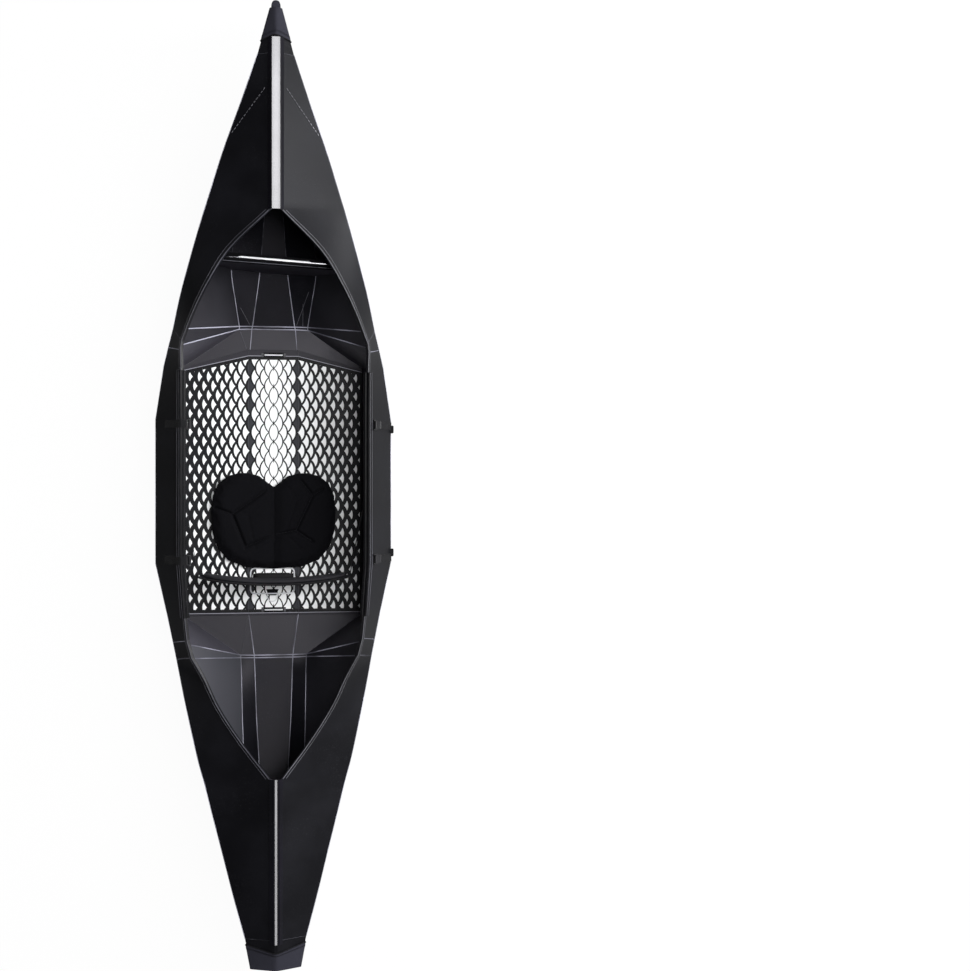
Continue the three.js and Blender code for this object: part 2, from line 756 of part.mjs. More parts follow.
// Port, drawn on starboard: up the outer strip, over the rail and down inside
const rimRailBottom = railCorner(-rimRailHead + rimRailChamfer, slotIn - rimRailBar);
const hangX = rimRailBottom[0];
function inboardStrap(y) {
  const start = moved(midRim, direction(midRim, midSheer), buckleFromRim + strapTail);
  const path = [
    flat(start),
    railCorner(rimRailDepth + rimRailBar, 0),
    railCorner(rimRailDepth, slotOut + rimRailBar),
    railCorner(-rimRailHead + rimRailChamfer, slotOut + rimRailBar),
    railCorner(-rimRailHead, slotOut + rimRailBar - rimRailChamfer),
    railCorner(-rimRailHead, slotIn - rimRailBar + rimRailChamfer),
    rimRailBottom,
    [hangX, rimRailBottom[1] - strapTail],
  ];
  return webbing(path, y, strapWidth);
}

// A buckle in its own frame: X along the strap from the hinge end, Y across, Z away from the strap
const pinSides = 12;
function pinAlong(radius, width, height, from) {
  const pin = new THREE.CylinderGeometry(radius, radius, width, pinSides);
  return bare(pin.translate(from, 0, height));
}

const pinPlace = cheekLength / 2;
const cheekInside = buckleWidth / 2 - cheekThickness;
const pinAxisHeight = buckleBase + pinHeight;

function buckleFrame() {
  const half = buckleWidth / 2;
  const base = boxBetween(point(0, -half, 0), point(buckleLength, half, buckleBase));
  const cheekOutline = [
    [0, 0],
    [cheekLength, 0],
    [cheekLength, pinAxisHeight - pinRadius],
    [cheekLength - pinRadius * 2, pinAxisHeight + pinRadius * 2],
    [pinRadius * 2, pinAxisHeight + pinRadius * 2],
    [0, pinAxisHeight - pinRadius],
  ];
  const cheek = side => prism(
    cheekOutline,
    side * cheekInside,
    side * half,
    (x, z, y) => point(x, y, z),
  );
  const bore = pinAlong(pinRadius + pinClearance, buckleWidth + cutOverrun, pinAxisHeight, pinPlace);
  return cut(joined(base, cheek(1), cheek(-1)), bore);
}

function buckleLever() {
  const half = cheekInside - leverSideGap;
  const head = pinAlong(leverHeadRadius, half * 2, pinAxisHeight, pinPlace);
  const pin = pinAlong(pinRadius, buckleWidth, pinAxisHeight, pinPlace);
  const top = pinAxisHeight + leverThickness / 2;
  const bottom = pinAxisHeight - leverThickness / 2;
  const arm = [
    [pinPlace, bottom],
    [buckleLength - leverTipRise * 2, bottom],
    [buckleLength, bottom + leverTipRise],
    [buckleLength, top + leverTipRise],
    [buckleLength - leverTipRise * 2, top],
    [pinPlace, top],
  ];
  return joined(head, pin, prism(arm, -half, half, (x, z, y) => point(x, y, z)));
}

function strapFrame(base, alongStrap, away, y) {
  const width = away.clone().cross(alongStrap);
  return new THREE.Matrix4().makeBasis(alongStrap, width, away).setPosition(base.x, y, base.z);
}

const seat = fitGap * 2 + strapThickness;
function outboardBuckleFrame(y) {
  const into = direction(midRim, midSheer);
  const out = normalAt(4, at.bowKnuckle, 4).setY(0).normalize();
  const base = moved(moved(midRim, into, buckleFromRim), out, seat);
  return strapFrame(base, into, out, y);
}

function inboardBuckleFrame(y) {
  const base = point(-hangX + seat, 0, rimRailBottom[1] - hangingBuckleDrop);
  return strapFrame(base, point(0, 0, -1), point(1, 0, 0), y);
}

// Floor board on the flat of the floor: a middle leaf and two side leaves, folded at the keel folds
const floorTop = sheetThickness + fitGap;
const boardTop = floorTop + boardThickness;
const foldX = outer(1, at.bowKnuckle).x;
const boardEdgeX = outer(2, at.bowKnuckle).x - boardSideGap;
const boardSternY = outer(2, at.sternRailEnd).y + boardEndGap;
const boardCornerY = outer(2, at.bowRailEnd).y - boardEndGap * 4;
const boardBowY = boardCornerY + boardBowLift;

function boardMiddle() {
  const x = foldX - boardFoldGap / 2;
  return boxBetween(point(-x, boardSternY, floorTop), point(x, boardBowY, boardTop));
}

function boardLeaf() {
  const outline = [
    [foldX + boardFoldGap / 2, boardSternY],
    [boardEdgeX, boardSternY],
    [boardEdgeX, boardCornerY],
    [foldX + boardFoldGap / 2, boardBowY],
  ];
  return prism(outline, floorTop, boardTop, standing);
}

function boardTab(y) {
  const low = point(-tabWidth / 2, y - tabLength / 2, boardTop + fitGap);
  return boxBetween(low, point(tabWidth / 2, y + tabLength / 2, boardTop + fitGap + tabThickness));
}

// Seat cushion: the outline as shares of half the width and half the length, and its crown
const seatOutlineShares = [
  [0.02, 0.9], [0.3, 1.0], [0.72, 0.93], [0.97, 0.66], [1.0, 0.2], [0.97, -0.22], [0.84, -0.62],
  [0.56, -0.93], [0.22, -1.0], [0, -0.985],
];
const seatCrownShares = [
  [0.9, 0], [0.975, 0.14], [1, 0.4], [0.985, 0.68], [0.93, 0.88], [0.8, 0.98], [0.4, 1],
];
const seatSeamShares = [
  [[0, 0.9], [0, -0.98]],
  [[-0.62, 0.24], [-0.42, 0.14]],
  [[-0.42, 0.14], [-0.12, 0.46]],
  [[-0.42, 0.14], [-0.28, -0.62]],
  [[-0.28, -0.62], [0.18, -0.26]],
  [[0.18, -0.26], [0.36, 0.42]],
  [[0.36, 0.42], [0.2, 0.8]],
  [[0.36, 0.42], [0.55, 0.6]],
  [[0.18, -0.26], [0.44, -0.6]],
];

function seatPlaces() {
  const places = [
    ...seatOutlineShares,
    ...seatOutlineShares.slice(0, -1).reverse().map(([outShare, alongShare]) => [-outShare, alongShare]),
  ];
  const curve = new THREE.CatmullRomCurve3(places.map(([outShare, alongShare]) => point(
    outShare * seatWidth / 2,
    alongShare * seatLength / 2,
    0,
  )), true, 'centripetal');
  return curve.getSpacedPoints(seatRound).slice(0, seatRound);
}

function seatCushion() {
  const bottom = boardTop + fitGap;
  const places = seatPlaces();
  const body = loft(seatCrownShares.map(([outShare, upShare]) => places.map(place => point(
    place.x * outShare,
    place.y * outShare + seatCentreY,
    bottom + upShare * seatHeight,
  ))));
  const top = bottom + seatHeight;
  const seams = seatSeamShares.map(([from, to]) => {
    const [start, end] = [from, to].map(([outShare, alongShare]) => point(
      outShare * seatWidth / 2,
      alongShare * seatLength / 2 + seatCentreY,
      0,
    ));
    const way = direction(start, end);
    const side = point(-way.y, way.x, 0);
    return loft([start, end].map(place => [
      moved(place, side, seamWidth / 2).setZ(top + cutOverrun),
      moved(place, side, -seamWidth / 2).setZ(top + cutOverrun),
      place.clone().setZ(top - seamDepth),
    ]));
  });
  return cut(body, ...seams);
}

// Back rest: a band that wraps forward at its sides, with round upper corners
const backTopRound = 0.42;
const backLowRound = 0.12;
const backRoundPower = 6;
const padEndStart = 0.9;
const padEndThickness = 0.35;
const padBulge = [[0.6, 0.1], [1, 1]];
const bracketBackShare = 0.35;
const sideStrapHeightShare = 0.38;
const backShares = [-1, -0.94, -0.8, -0.55, -0.25, 0, 0.25, 0.55, 0.8, 0.94, 1];
const backFrontY = x => backY + backWrap * (2 * x / backWidth) ** 2;
const backTopShare = share => 1 - backTopRound * Math.abs(share) ** backRoundPower;
const backLowShare = share => backLowRound * Math.abs(share) ** backRoundPower;

function backPanel() {
  const band = loft(backShares.map(share => {
    const x = share * backWidth / 2;
    const front = backFrontY(x);
    const low = backBottom + backLowShare(share) * backHeight;
    const high = backBottom + backTopShare(share) * backHeight;
    return [
      point(x, front - backThickness, low),
      point(x, front, low),
      point(x, front, high),
      point(x, front - backThickness, high),
    ];
  }));
  const stemSide = [
    [backY, backBottom + cutOverrun * 2],
    [backY - backThickness, backBottom + cutOverrun * 2],
    [backY - backThickness, hingeHeight],
    [backY - backThickness / 2, hingeHeight - hingeEarRadius + cutOverrun],
    [backY + hingeEarRadius, hingeHeight - hingeEarRadius + cutOverrun],
    [backY + hingeEarRadius, hingeHeight + hingePinRadius],
    [backY, backBottom - cutOverrun],
  ];
  const stem = prism(stemSide, -stemWidth / 2, stemWidth / 2, sideways);
  return cut(joined(band, stem), hingeRod(hingeBoreRadius - pinClearance / 2, stemWidth + cutOverrun));
}

function hingeRod(radius, width) {
  const rod = new THREE.CylinderGeometry(radius, radius, width, pinSides);
  return bare(rod.rotateZ(Math.PI / 2).translate(0, backY, hingeHeight));
}

function backPad() {
  const shares = backShares.slice(1, -1);
  return loft(shares.map(share => {
    const x = share * backWidth / 2;
    const edge = Math.abs(share) > padEndStart ? padEndThickness : 1;
    const front = backFrontY(x) + fitGap;
    const low = backBottom + backLowShare(share) * backHeight + padInset / 2;
    const high = backBottom + backTopShare(share) * backHeight - padInset / 2;
    const thick = padThickness * edge;
    return [
      point(x, front, low),
      ...padBulge.map(([out, up]) => point(x, front + thick * out, low + padInset * up)),
      ...padBulge.map(([out, up]) => point(x, front + thick * out, high - padInset * up)).reverse(),
      point(x, front, high),
    ];
  }));
}

// The bracket that carries the back rest, standing on the floor board behind the cushion
const hingeFootZ = boardTop + fitGap;
function hingeBracket() {
  const footBack = backY - hingeFootLength * bracketBackShare;
  const footFront = footBack + hingeFootLength;
  const foot = boxBetween(
    point(-hingeFootWidth / 2, footBack, hingeFootZ),
    point(hingeFootWidth / 2, footFront, hingeFootZ + hingeFootThickness),
  );
  const ear = side => prism(
    [
      [footBack + cutOverrun, hingeFootZ],
      [footFront - cutOverrun, hingeFootZ],
      [backY + hingeEarRadius, hingeHeight],
      [backY + hingeEarRadius / 2, hingeHeight + hingeEarRadius],
      [backY - hingeEarRadius / 2, hingeHeight + hingeEarRadius],
      [backY - hingeEarRadius, hingeHeight],
    ],
    side * hingeEarHalfGap,
    side * (hingeEarHalfGap + hingeEarThickness),
    sideways,
  );
  const width = (hingeEarHalfGap + hingeEarThickness + cutOverrun) * 2;
  return cut(joined(foot, ear(1), ear(-1)), hingeRod(hingeBoreRadius, width));
}

const hingePin = () => hingeRod(hingePinRadius - pinClearance / 2, (hingeEarHalfGap + hingeEarThickness) * 2);

// A side strap from the end of the back rest forward to the rim rail
function sideStrap() {
  const x = backWidth / 2;
  const lowZ = backBottom + backHeight * sideStrapHeightShare;
  const highZ = rimRailBottom[1] - sideStrapWidth / 2;
  const low = point(x + fitGap, backFrontY(x) - backThickness / 2, lowZ);
  const high = point(hangX - sideStrapThickness * 2, low.y + sideStrapForward, highZ);
  const thick = point(sideStrapThickness, 0, 0);
  const tall = point(0, 0, sideStrapWidth / 2);
  return loft([low, high].map(place => [
    place.clone().sub(tall),
    place.clone().sub(tall).add(thick),
    place.clone().add(tall).add(thick),
    place.clone().add(tall),
  ]));
}

// Materials
const finish = (color, roughness, metalness = 0) => new THREE.MeshStandardMaterial({
  color,
  roughness,
  metalness,
  flatShading: true,
});
const sheetPlastic = finish(0x1d1e21, 0.38);
const deckPlastic = finish(0x232427, 0.38);
const railPlastic = finish(0x101013, 0.2);
const trimRubber = finish(0x141416, 0.45);
const sleeveFabric = finish(0x2a2a33, 0.9);
const webbingBlack = finish(0x111112, 0.85);
const bucklePlastic = finish(0x151517, 0.4);
const boardPlastic = finish(0xe8ecec, 0.45);
const bracePlastic = finish(0x1b1b1f, 0.3);
const foamFabric = finish(0x0e0e11, 0.92);
const hingeSteel = finish(0x8a8c90, 0.35, 0.9);

const kayak = new THREE.Group();

function add(name, geometry, material, parent = kayak) {
  const mesh = new THREE.Mesh(bare(geometry), material);
  mesh.name = name;
  parent.add(mesh);
  return mesh;
}

// The panels of the sheet
add('floor_middle', panel([-2, -1, 1, 2], at.sternFloorFold, at.bowFloorFold), sheetPlastic);
add('keel_bow', panel([-1, 1], at.bowFloorFold, at.bowFold), sheetPlastic);
add('keel_stern', panel([-1, 1], at.sternFold, at.sternFloorFold), sheetPlastic);
add('bow_end', bowEnd(), sheetPlastic);
add('stern_end', sternEnd(), sheetPlastic);

for (const [sideName, sideSign] of [['starboard', 1], ['port', -1]]) {
  const side = new THREE.Group();
  side.scale.x = sideSign;
  kayak.add(side);
  add(`floor_bow_${sideName}`, panel([1, 2], at.bowFloorFold, at.bowFold), sheetPlastic, side);
  add(`floor_stern_${sideName}`, panel([1, 2], at.sternFold, at.sternFloorFold), sheetPlastic, side);
  add(
    `side_middle_${sideName}`,
    panel([2, 3], at.sternFloorFold, at.bowFloorFold, middleSteps),
    sheetPlastic,
    side,
  );
  add(`side_bow_${sideName}`, panel([2, 3], at.bowFloorFold, at.bowFold), sheetPlastic, side);
  add(`side_stern_${sideName}`, panel([2, 3], at.sternFold, at.sternFloorFold), sheetPlastic, side);
  add(`gunwale_strip_${sideName}`, panel([3, band, 4], at.sternDeckFold, at.bowDeckFold), deckPlastic, side);
  add(`bow_deck_${sideName}`, panel([3, band, 4], at.bowDeckFold, at.bowFold), deckPlastic, side);
  add(`stern_deck_${sideName}`, panel([3, band, 4], at.sternFold, at.sternDeckFold), deckPlastic, side);
  add(`bow_rim_trim_${sideName}`, bowTrim(), trimRubber, side);
  add(`stern_rim_trim_${sideName}`, sternTrim(), trimRubber, side);
  add(`rim_rail_${sideName}`, rimRail(), railPlastic, side);
  add(`floor_board_leaf_${sideName}`, boardLeaf(), boardPlastic, side);
  add(`backrest_strap_${sideName}`, sideStrap(), webbingBlack, side);
}

add(
  'bow_seam_rail',
  seamRail(at.bowSeamStart, at.bowFold, bowSeamRailHalfWidth, bowSeamRailReach),
  railPlastic,
);
add(
  'stern_seam_rail',
  seamRail(at.sternFold, at.sternSeamStart, sternSeamRailHalfWidth, -sternSeamRailReach),
  railPlastic,
);
add('bow_sleeve', bowSleeve(), sleeveFabric);
add('bow_pull_tab', pullTab(), webbingBlack);
add('stern_sleeve', sternSleeve(), sleeveFabric);

// Straps and buckles: outboard on starboard, hanging inboard on port
for (const [endName, y] of [['front', bowStrapY], ['rear', sternStrapY]]) {
  add(`strap_${endName}_starboard`, outboardStrap(y), webbingBlack);
  add(`strap_${endName}_port`, inboardStrap(y).scale(-1, 1, 1), webbingBlack).geometry.index.array.reverse();
  for (const [sideName, frame] of [
    ['starboard', outboardBuckleFrame(y)],
    ['port', inboardBuckleFrame(y)],
  ]) {
    add(`buckle_frame_${endName}_${sideName}`, buckleFrame(), bucklePlastic).applyMatrix4(frame);
    add(`buckle_lever_${endName}_${sideName}`, buckleLever(), bucklePlastic).applyMatrix4(frame);
  }
}

add('floor_board_middle', boardMiddle(), boardPlastic);
add('floor_board_tab_front', boardTab(boardBowY - tabFromEnd - tabLength / 2), webbingBlack);
add('floor_board_tab_rear', boardTab(boardSternY + tabFromEnd + tabLength / 2), webbingBlack);
add('seat_cushion', seatCushion(), foamFabric);
add('backrest_panel', backPanel(), railPlastic);
add('backrest_pad', backPad(), foamFabric);
add('backrest_bracket', hingeBracket(), bucklePlastic);
add('backrest_hinge_pin', hingePin(), hingeSteel);
add('foot_brace', footBrace(), bracePlastic);

export default kayak;
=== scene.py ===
# A one-seat folding kayak of one creased plastic sheet, opened out for use and seen from above.
# Metres. +Y points to the bow, +X to starboard and +Z up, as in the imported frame.
import json

import bpy
import bmesh
import numpy as np
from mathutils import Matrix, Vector
from mathutils.bvhtree import BVHTree


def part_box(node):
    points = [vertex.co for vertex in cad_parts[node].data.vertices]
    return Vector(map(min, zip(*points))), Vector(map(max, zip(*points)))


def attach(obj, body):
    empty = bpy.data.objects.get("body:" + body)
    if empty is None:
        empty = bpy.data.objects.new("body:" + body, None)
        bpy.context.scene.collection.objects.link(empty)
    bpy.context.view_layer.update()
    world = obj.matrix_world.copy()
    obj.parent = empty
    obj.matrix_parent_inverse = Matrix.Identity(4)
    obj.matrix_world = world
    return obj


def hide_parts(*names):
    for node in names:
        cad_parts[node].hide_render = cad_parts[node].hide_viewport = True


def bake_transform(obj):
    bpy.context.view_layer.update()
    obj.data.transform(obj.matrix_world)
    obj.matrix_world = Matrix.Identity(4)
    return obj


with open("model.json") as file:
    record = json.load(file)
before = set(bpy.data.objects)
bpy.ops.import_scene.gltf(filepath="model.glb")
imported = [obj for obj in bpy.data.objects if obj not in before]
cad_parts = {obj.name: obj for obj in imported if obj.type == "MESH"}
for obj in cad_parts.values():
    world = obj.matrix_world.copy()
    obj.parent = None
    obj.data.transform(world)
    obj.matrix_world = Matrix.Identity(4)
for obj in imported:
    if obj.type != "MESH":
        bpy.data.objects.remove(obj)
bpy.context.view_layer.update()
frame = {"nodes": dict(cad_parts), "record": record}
bodyOf = {node: body for body, nodes in frame["record"]["behaviour"]["bodies"].items() for node in nodes}
sides = ((1, "starboard"), (-1, "port"))
scene = bpy.context.scene
scene.view_settings.view_transform = "Standard"
print("frame loaded:", len(bodyOf), "nodes")


# Camera: above the middle of the boat, turned a little to starboard, so that the boat stands at the left
cameraLook = {"place": (-0.11, 0.0014, 5.0), "pan": 0.1596, "lens": 56.6, "sensor": 36}


def addObject(name, data):
    item = bpy.data.objects.new(name, data)
    scene.collection.objects.link(item)
    return item


def makeCamera(look):
    data = bpy.data.cameras.new("camera")
    data.lens = look["lens"]
    data.sensor_width = look["sensor"]
    scene.camera = addObject("camera", data)
    scene.camera.location = look["place"]
    scene.camera.rotation_euler = (0, -look["pan"], 0)


makeCamera(cameraLook)


# Shader helpers: the output of a node, written into sums like a number
class Value:
    def __init__(self, tree, socket):
        self.tree = tree
        self.socket = socket

    def by(self, operation, *others):
        return addNode(self.tree, "ShaderNodeMath", [self, *others], operation=operation)[0]

    def __add__(self, other):
        return self.by("ADD", other)

    def __sub__(self, other):
        return self.by("SUBTRACT", other)

    def __rsub__(self, other):
        return addNode(self.tree, "ShaderNodeMath", [other, self], operation="SUBTRACT")[0]

    def __mul__(self, other):
        return self.by("MULTIPLY", other)

    def __truediv__(self, other):
        return self.by("DIVIDE", other)


class Outputs:
    def __init__(self, tree, node):
        self.tree = tree
        self.node = node

    def __getitem__(self, key):
        return Value(self.tree, self.node.outputs[key])


def colour(hexText):
    channels = [int(hexText[i:i + 2], 16) / 255 for i in (0, 2, 4)]
    linear = [c / 12.92 if c <= 0.04045 else ((c + 0.055) / 1.055) ** 2.4 for c in channels]
    return (*linear, 1.0)


# Links or sets the inputs of a node, given by name or in their order
def wire(node, inputs):
    for key, value in inputs.items() if isinstance(inputs, dict) else enumerate(inputs):
        socket = node.inputs[key]
        if isinstance(value, Value):
            value.tree.links.new(value.socket, socket)
        else:
            socket.default_value = colour(value) if isinstance(value, str) else value


def addNode(tree, kind, inputs=(), **settings):
    node = tree.nodes.new(kind)
    for name, value in settings.items():
        setattr(node, name, value)
    wire(node, inputs)
    return Outputs(tree, node)


def ranged(value, low, high, start=0.0, end=1.0, smooth=True):
    return addNode(value.tree, "ShaderNodeMapRange", {
        "Value": value, "From Min": low, "From Max": high, "To Min": start, "To Max": end,
    }, interpolation_type="SMOOTHSTEP" if smooth else "LINEAR")[0]


# The mix node's colour inputs are its seventh and eighth, and its colour output is the third
def blended(share, first, second):
    return addNode(share.tree, "ShaderNodeMix", {0: share, 6: first, 7: second}, data_type="RGBA")[2]


def parted(vector):
    return addNode(vector.tree, "ShaderNodeSeparateXYZ", [vector])


def noise(vector, scale, detail, roughness=0.5):
    return addNode(vector.tree, "ShaderNodeTexNoise", {
        "Vector": vector, "Scale": scale, "Detail": detail, "Roughness": roughness})[0]


# Light: a strip over each end for the rails, a large soft key high to starboard, a low one on the same
# side, and a room that is white round the horizon, dim overhead and dimmer to port
studioLight = {
    "lamps": {
        "bowStrip": {"place": (0.12, 2.35, 5.5), "aim": (0.12, 2.35, 0), "size": (0.34, 2.4), "power": 15},
        "sternStrip": {"place": (0.12, -2.4, 5.5), "aim": (0.12, -2.4, 0), "size": (0.34, 2.2), "power": 8},
        "key": {"place": (1.5, 0.4, 4.7), "aim": (0, 0.1, 0.1), "size": (1.2, 3.4), "power": 215},
        "starboard": {"place": (3.7, 1.2, 2.4), "aim": (0, 0.3, 0.1), "size": (1.6, 3.6), "power": 235},
        "port": {"place": (-3.4, -0.6, 1.6), "aim": (0, 0, 0.2), "size": (1.2, 3.0), "power": 6},
    },
    "horizon": 1.0, "ceiling": 0.09, "whiteUpTo": 0.42, "dimFrom": 0.68,
    "port": 0.3, "portUpTo": -0.5, "starboardFrom": 0.3, "tint": (0.97, 0.965, 1.0, 1.0),
}


def makeLights(look):
    for name, lampLook in look["lamps"].items():
        data = bpy.data.lights.new(name, "AREA")
        data.shape = "RECTANGLE"
        data.size, data.size_y = lampLook["size"]
        data.energy = lampLook["power"]
        lamp = addObject(name, data)
        lamp.location = lampLook["place"]
        way = Vector(lampLook["aim"]) - Vector(lampLook["place"])
        lamp.rotation_euler = way.to_track_quat("-Z", "Y").to_euler()
    scene.world = bpy.data.worlds.new("room")
    scene.world.use_nodes = True
    tree = scene.world.node_tree
    way = parted(addNode(tree, "ShaderNodeTexCoord")["Generated"])
    height = ranged(way["Z"], look["whiteUpTo"], look["dimFrom"], look["horizon"], look["ceiling"])
    across = ranged(way["X"], look["portUpTo"], look["starboardFrom"], look["port"], 1.0, False)
    share = across.by("MAXIMUM", addNode(tree, "ShaderNodeLightPath")["Is Camera Ray"])
    wire(tree.nodes["Background"], {"Strength": height * share, "Color": look["tint"]})


makeLights(studioLight)
print("camera and lights made")


# Shared effects: each is a group, made from its inputs
def newGroup(name, inputs, make):
    tree = bpy.data.node_groups.new(name, "ShaderNodeTree")
    for label, value in inputs.items():
        kind = "NodeSocketVector" if value is None else "NodeSocketFloat"
        socket = tree.interface.new_socket(label, in_out="INPUT", socket_type=kind)
        if value is not None:
            socket.default_value = value
    made = make(addNode(tree, "NodeGroupInput"))
    for label in made:
        tree.interface.new_socket(label, in_out="OUTPUT", socket_type="NodeSocketFloat")
    addNode(tree, "NodeGroupOutput", made)
    return tree


def mouldGrain(source):
    fine = noise(source["Vector"], source["Scale"], 3)
    wide = noise(source["Vector"], 5.5, 4, 0.55)
    return {"Height": fine, "Cloud": ranged(wide, 0.35, 0.7)}


# a rib of height one half plus one half of the cosine of the place across the flutes over their pitch
def sheetFlutes(source):
    turn = source["Across"] / source["Pitch"] * 6.2832
    return {"Height": turn.by("COSINE") * 0.5 + 0.5}


# whitened plastic within a width of an edge, broken up by noise
def foldWear(source):
    near = ranged(source["Distance"] / source["Width"], 1, 0.25)
    return {"Mask": near * ranged(noise(source["Vector"], 38, 5), 0.38, 0.62, 0.25, 1)}


# plain weave: the product of two waves, so that over and under threads take turns
def webWeave(source):
    across, along = ((source[way] / source["Pitch"] * 3.1416).by("SINE") for way in ("Across", "Along"))
    return {"Height": across * along * 0.5 + 0.5, "Thread": across.by("ABSOLUTE")}


def handlingDust(source):
    specks = noise(source["Vector"], 260, 6, 0.7)
    smear = noise(source["Vector"], 9, 3)
    return {"Mask": ranged(specks, 0.56, 0.75) * ranged(smear, 0.4, 0.7)}


effects = {
    "grain": newGroup("mouldGrain", {"Vector": None, "Scale": 900}, mouldGrain),
    "flutes": newGroup("sheetFlutes", {"Across": 0, "Pitch": 0.0045}, sheetFlutes),
    "foldWear": newGroup("foldWear", {"Vector": None, "Distance": 1, "Width": 0.003}, foldWear),
    "weave": newGroup("webWeave", {"Across": 0, "Along": 0, "Pitch": 0.0016}, webWeave),
    "dust": newGroup("handlingDust", {"Vector": None}, handlingDust),
}


def effect(tree, name, **inputs):
    return addNode(tree, "ShaderNodeGroup", inputs, node_tree=effects[name])


def newMaterial(name, sockets):
    material = bpy.data.materials.new(name)
    material.use_nodes = True
    tree = material.node_tree
    wire(tree.nodes["Principled BSDF"], sockets)
    return material, tree, addNode(tree, "ShaderNodeTexCoord")["Object"]


def finished(material, base, rough, height, relief):
    tree = material.node_tree
    normal = addNode(tree, "ShaderNodeBump", {"Height": height, "Distance": relief, "Strength": 1.0})[0]
    wire(tree.nodes["Principled BSDF"], {"Base Color": base, "Roughness": rough, "Normal": normal})
    return material


def attribute(tree, name):
    return addNode(tree, "ShaderNodeAttribute", attribute_name=name)


sheetLook = {"dark": "0e0e12", "light": "18181d", "worn": "9a9aa8", "wear": 0.12, "wearWidth": 0.0020,
             "rough": 0.46, "gloss": 0.5, "flutePitch": 0.0045, "relief": 0.00006,
             "dust": 0.12, "dustTone": "8d8f96", "tint": (0.94, 0.91, 1.0, 1.0)}
floorLook = sheetLook | {"dark": "0c0c10", "light": "15151a", "rough": 0.44}
deckLook = sheetLook | {"dark": "08080b", "light": "0e0e12", "worn": "6d6d76", "wear": 0.35,
                        "wearWidth": 0.0018, "rough": 0.38, "gloss": 0.15, "relief": 0.00005,
                        "tint": (0.95, 0.96, 1.0, 1.0)}


def sheetMaterial(name, look):
    # the sheet's own place: metres to the nearest fold line, along the panel and to its far end
    material, tree, vector = newMaterial(name, {
        "Specular IOR Level": look["gloss"], "Specular Tint": look["tint"]})
    place = parted(attribute(tree, "sheetPlace")["Vector"])
    toEdge = place[0].by("MINIMUM", place[1].by("MINIMUM", place[2]))
    grain = effect(tree, "grain", Vector=vector, Scale=700)
    flutes = effect(tree, "flutes", Across=place[1], Pitch=look["flutePitch"])
    wear = effect(tree, "foldWear", Vector=vector, Distance=toEdge, Width=look["wearWidth"])["Mask"]
    dust = effect(tree, "dust", Vector=vector)["Mask"]
    body = blended(grain["Cloud"], look["dark"], look["light"])
    # a lighter inner tone, where given, is painted light on the inner faces of the walls
    if "inner" in look:
        body = blended(attribute(tree, "sheetInner")["Fac"], body, look["inner"])
    dusty = blended(dust * look["dust"], body, look["dustTone"])
    return finished(material, blended(wear * look["wear"], dusty, look["worn"]),
                    dust * 0.2 + (grain["Cloud"] * 0.08 + look["rough"]),
                    flutes["Height"] * 0.7 + grain["Height"] * 0.5, look["relief"])


# Moulded or extruded plastic with a fine grain and a little dust; above the top height it takes a darker
# painted shade tone
plasticLook = {"gloss": 0.5, "relief": 0.00008, "grainScale": 1200, "topTone": "08080a",
               "dust": 0.15, "dustTone": "a5a7ac"}


def plasticMaterial(name, dark, light, rough, **more):
    look = plasticLook | more
    material, tree, vector = newMaterial(name, {"Specular IOR Level": look["gloss"]})
    grain = effect(tree, "grain", Vector=vector, Scale=look["grainScale"])
    dust = effect(tree, "dust", Vector=vector)["Mask"]
    body = blended(grain["Cloud"], dark, light)
    if "top" in look:
        body = blended(parted(vector)[2].by("GREATER_THAN", look["top"]), body, look["topTone"])
    return finished(material, blended(dust * look["dust"], body, look["dustTone"]),
                    grain["Cloud"] * 0.06 + rough, grain["Height"], look["relief"])


# Knitted or woven cloth with a soft sheen; up is the number of the axis that the weave climbs
clothLook = {"gloss": 0.25, "sheen": 0.2, "up": 1}


def clothMaterial(name, dark, light, rough, pitch, relief, **more):
    look = clothLook | more
    material, tree, vector = newMaterial(name, {
        "Specular IOR Level": look["gloss"], "Sheen Weight": look["sheen"], "Sheen Roughness": 0.45,
        "Sheen Tint": light})
    place = parted(vector)
    weave = effect(tree, "weave", Across=place[0], Along=place[look["up"]], Pitch=pitch)
    grain = effect(tree, "grain", Vector=vector, Scale=420)
    thread = blended(weave["Thread"] * 0.45, dark, light)
    return finished(material, blended(grain["Cloud"] * 0.4, thread, dark), grain["Height"] * 0.1 + rough,
                    weave["Height"] * 0.8 + grain["Height"] * 0.6, relief)


# Woven tape with fine ribs, read along the boat and along its own slope
def webbingMaterial(name, dark, light, rough, pitch, relief):
    material, tree, vector = newMaterial(name, {"Specular IOR Level": 0.15, "Sheen Weight": 0.04})
    place = parted(vector)
    weave = effect(tree, "weave", Across=place[1], Along=place[0] + place[2], Pitch=pitch)
    return finished(material, blended(weave["Height"], dark, light), weave["Thread"] * 0.1 + rough,
                    weave["Height"], relief)


boardPrint = {
    "column": 0.01457, "halfRow": 0.02968, "phase": -0.0049, "thin": 0.0014, "growth": 0.0205,
    "foldScale": 5, "sideAt": 0.2785, "white": "f6f7f8", "black": "0b0b0f", "foldGrey": "2c2d32",
    "frontAt": 0.4085, "rearAt": -0.3985, "straight": 0.08, "rake": 0.24, "border": 0.012,
    "edgeLine": "8a8a94", "edgeHalf": 0.0011, "beyond": "2b2a30", "dustTone": "77787c",
}


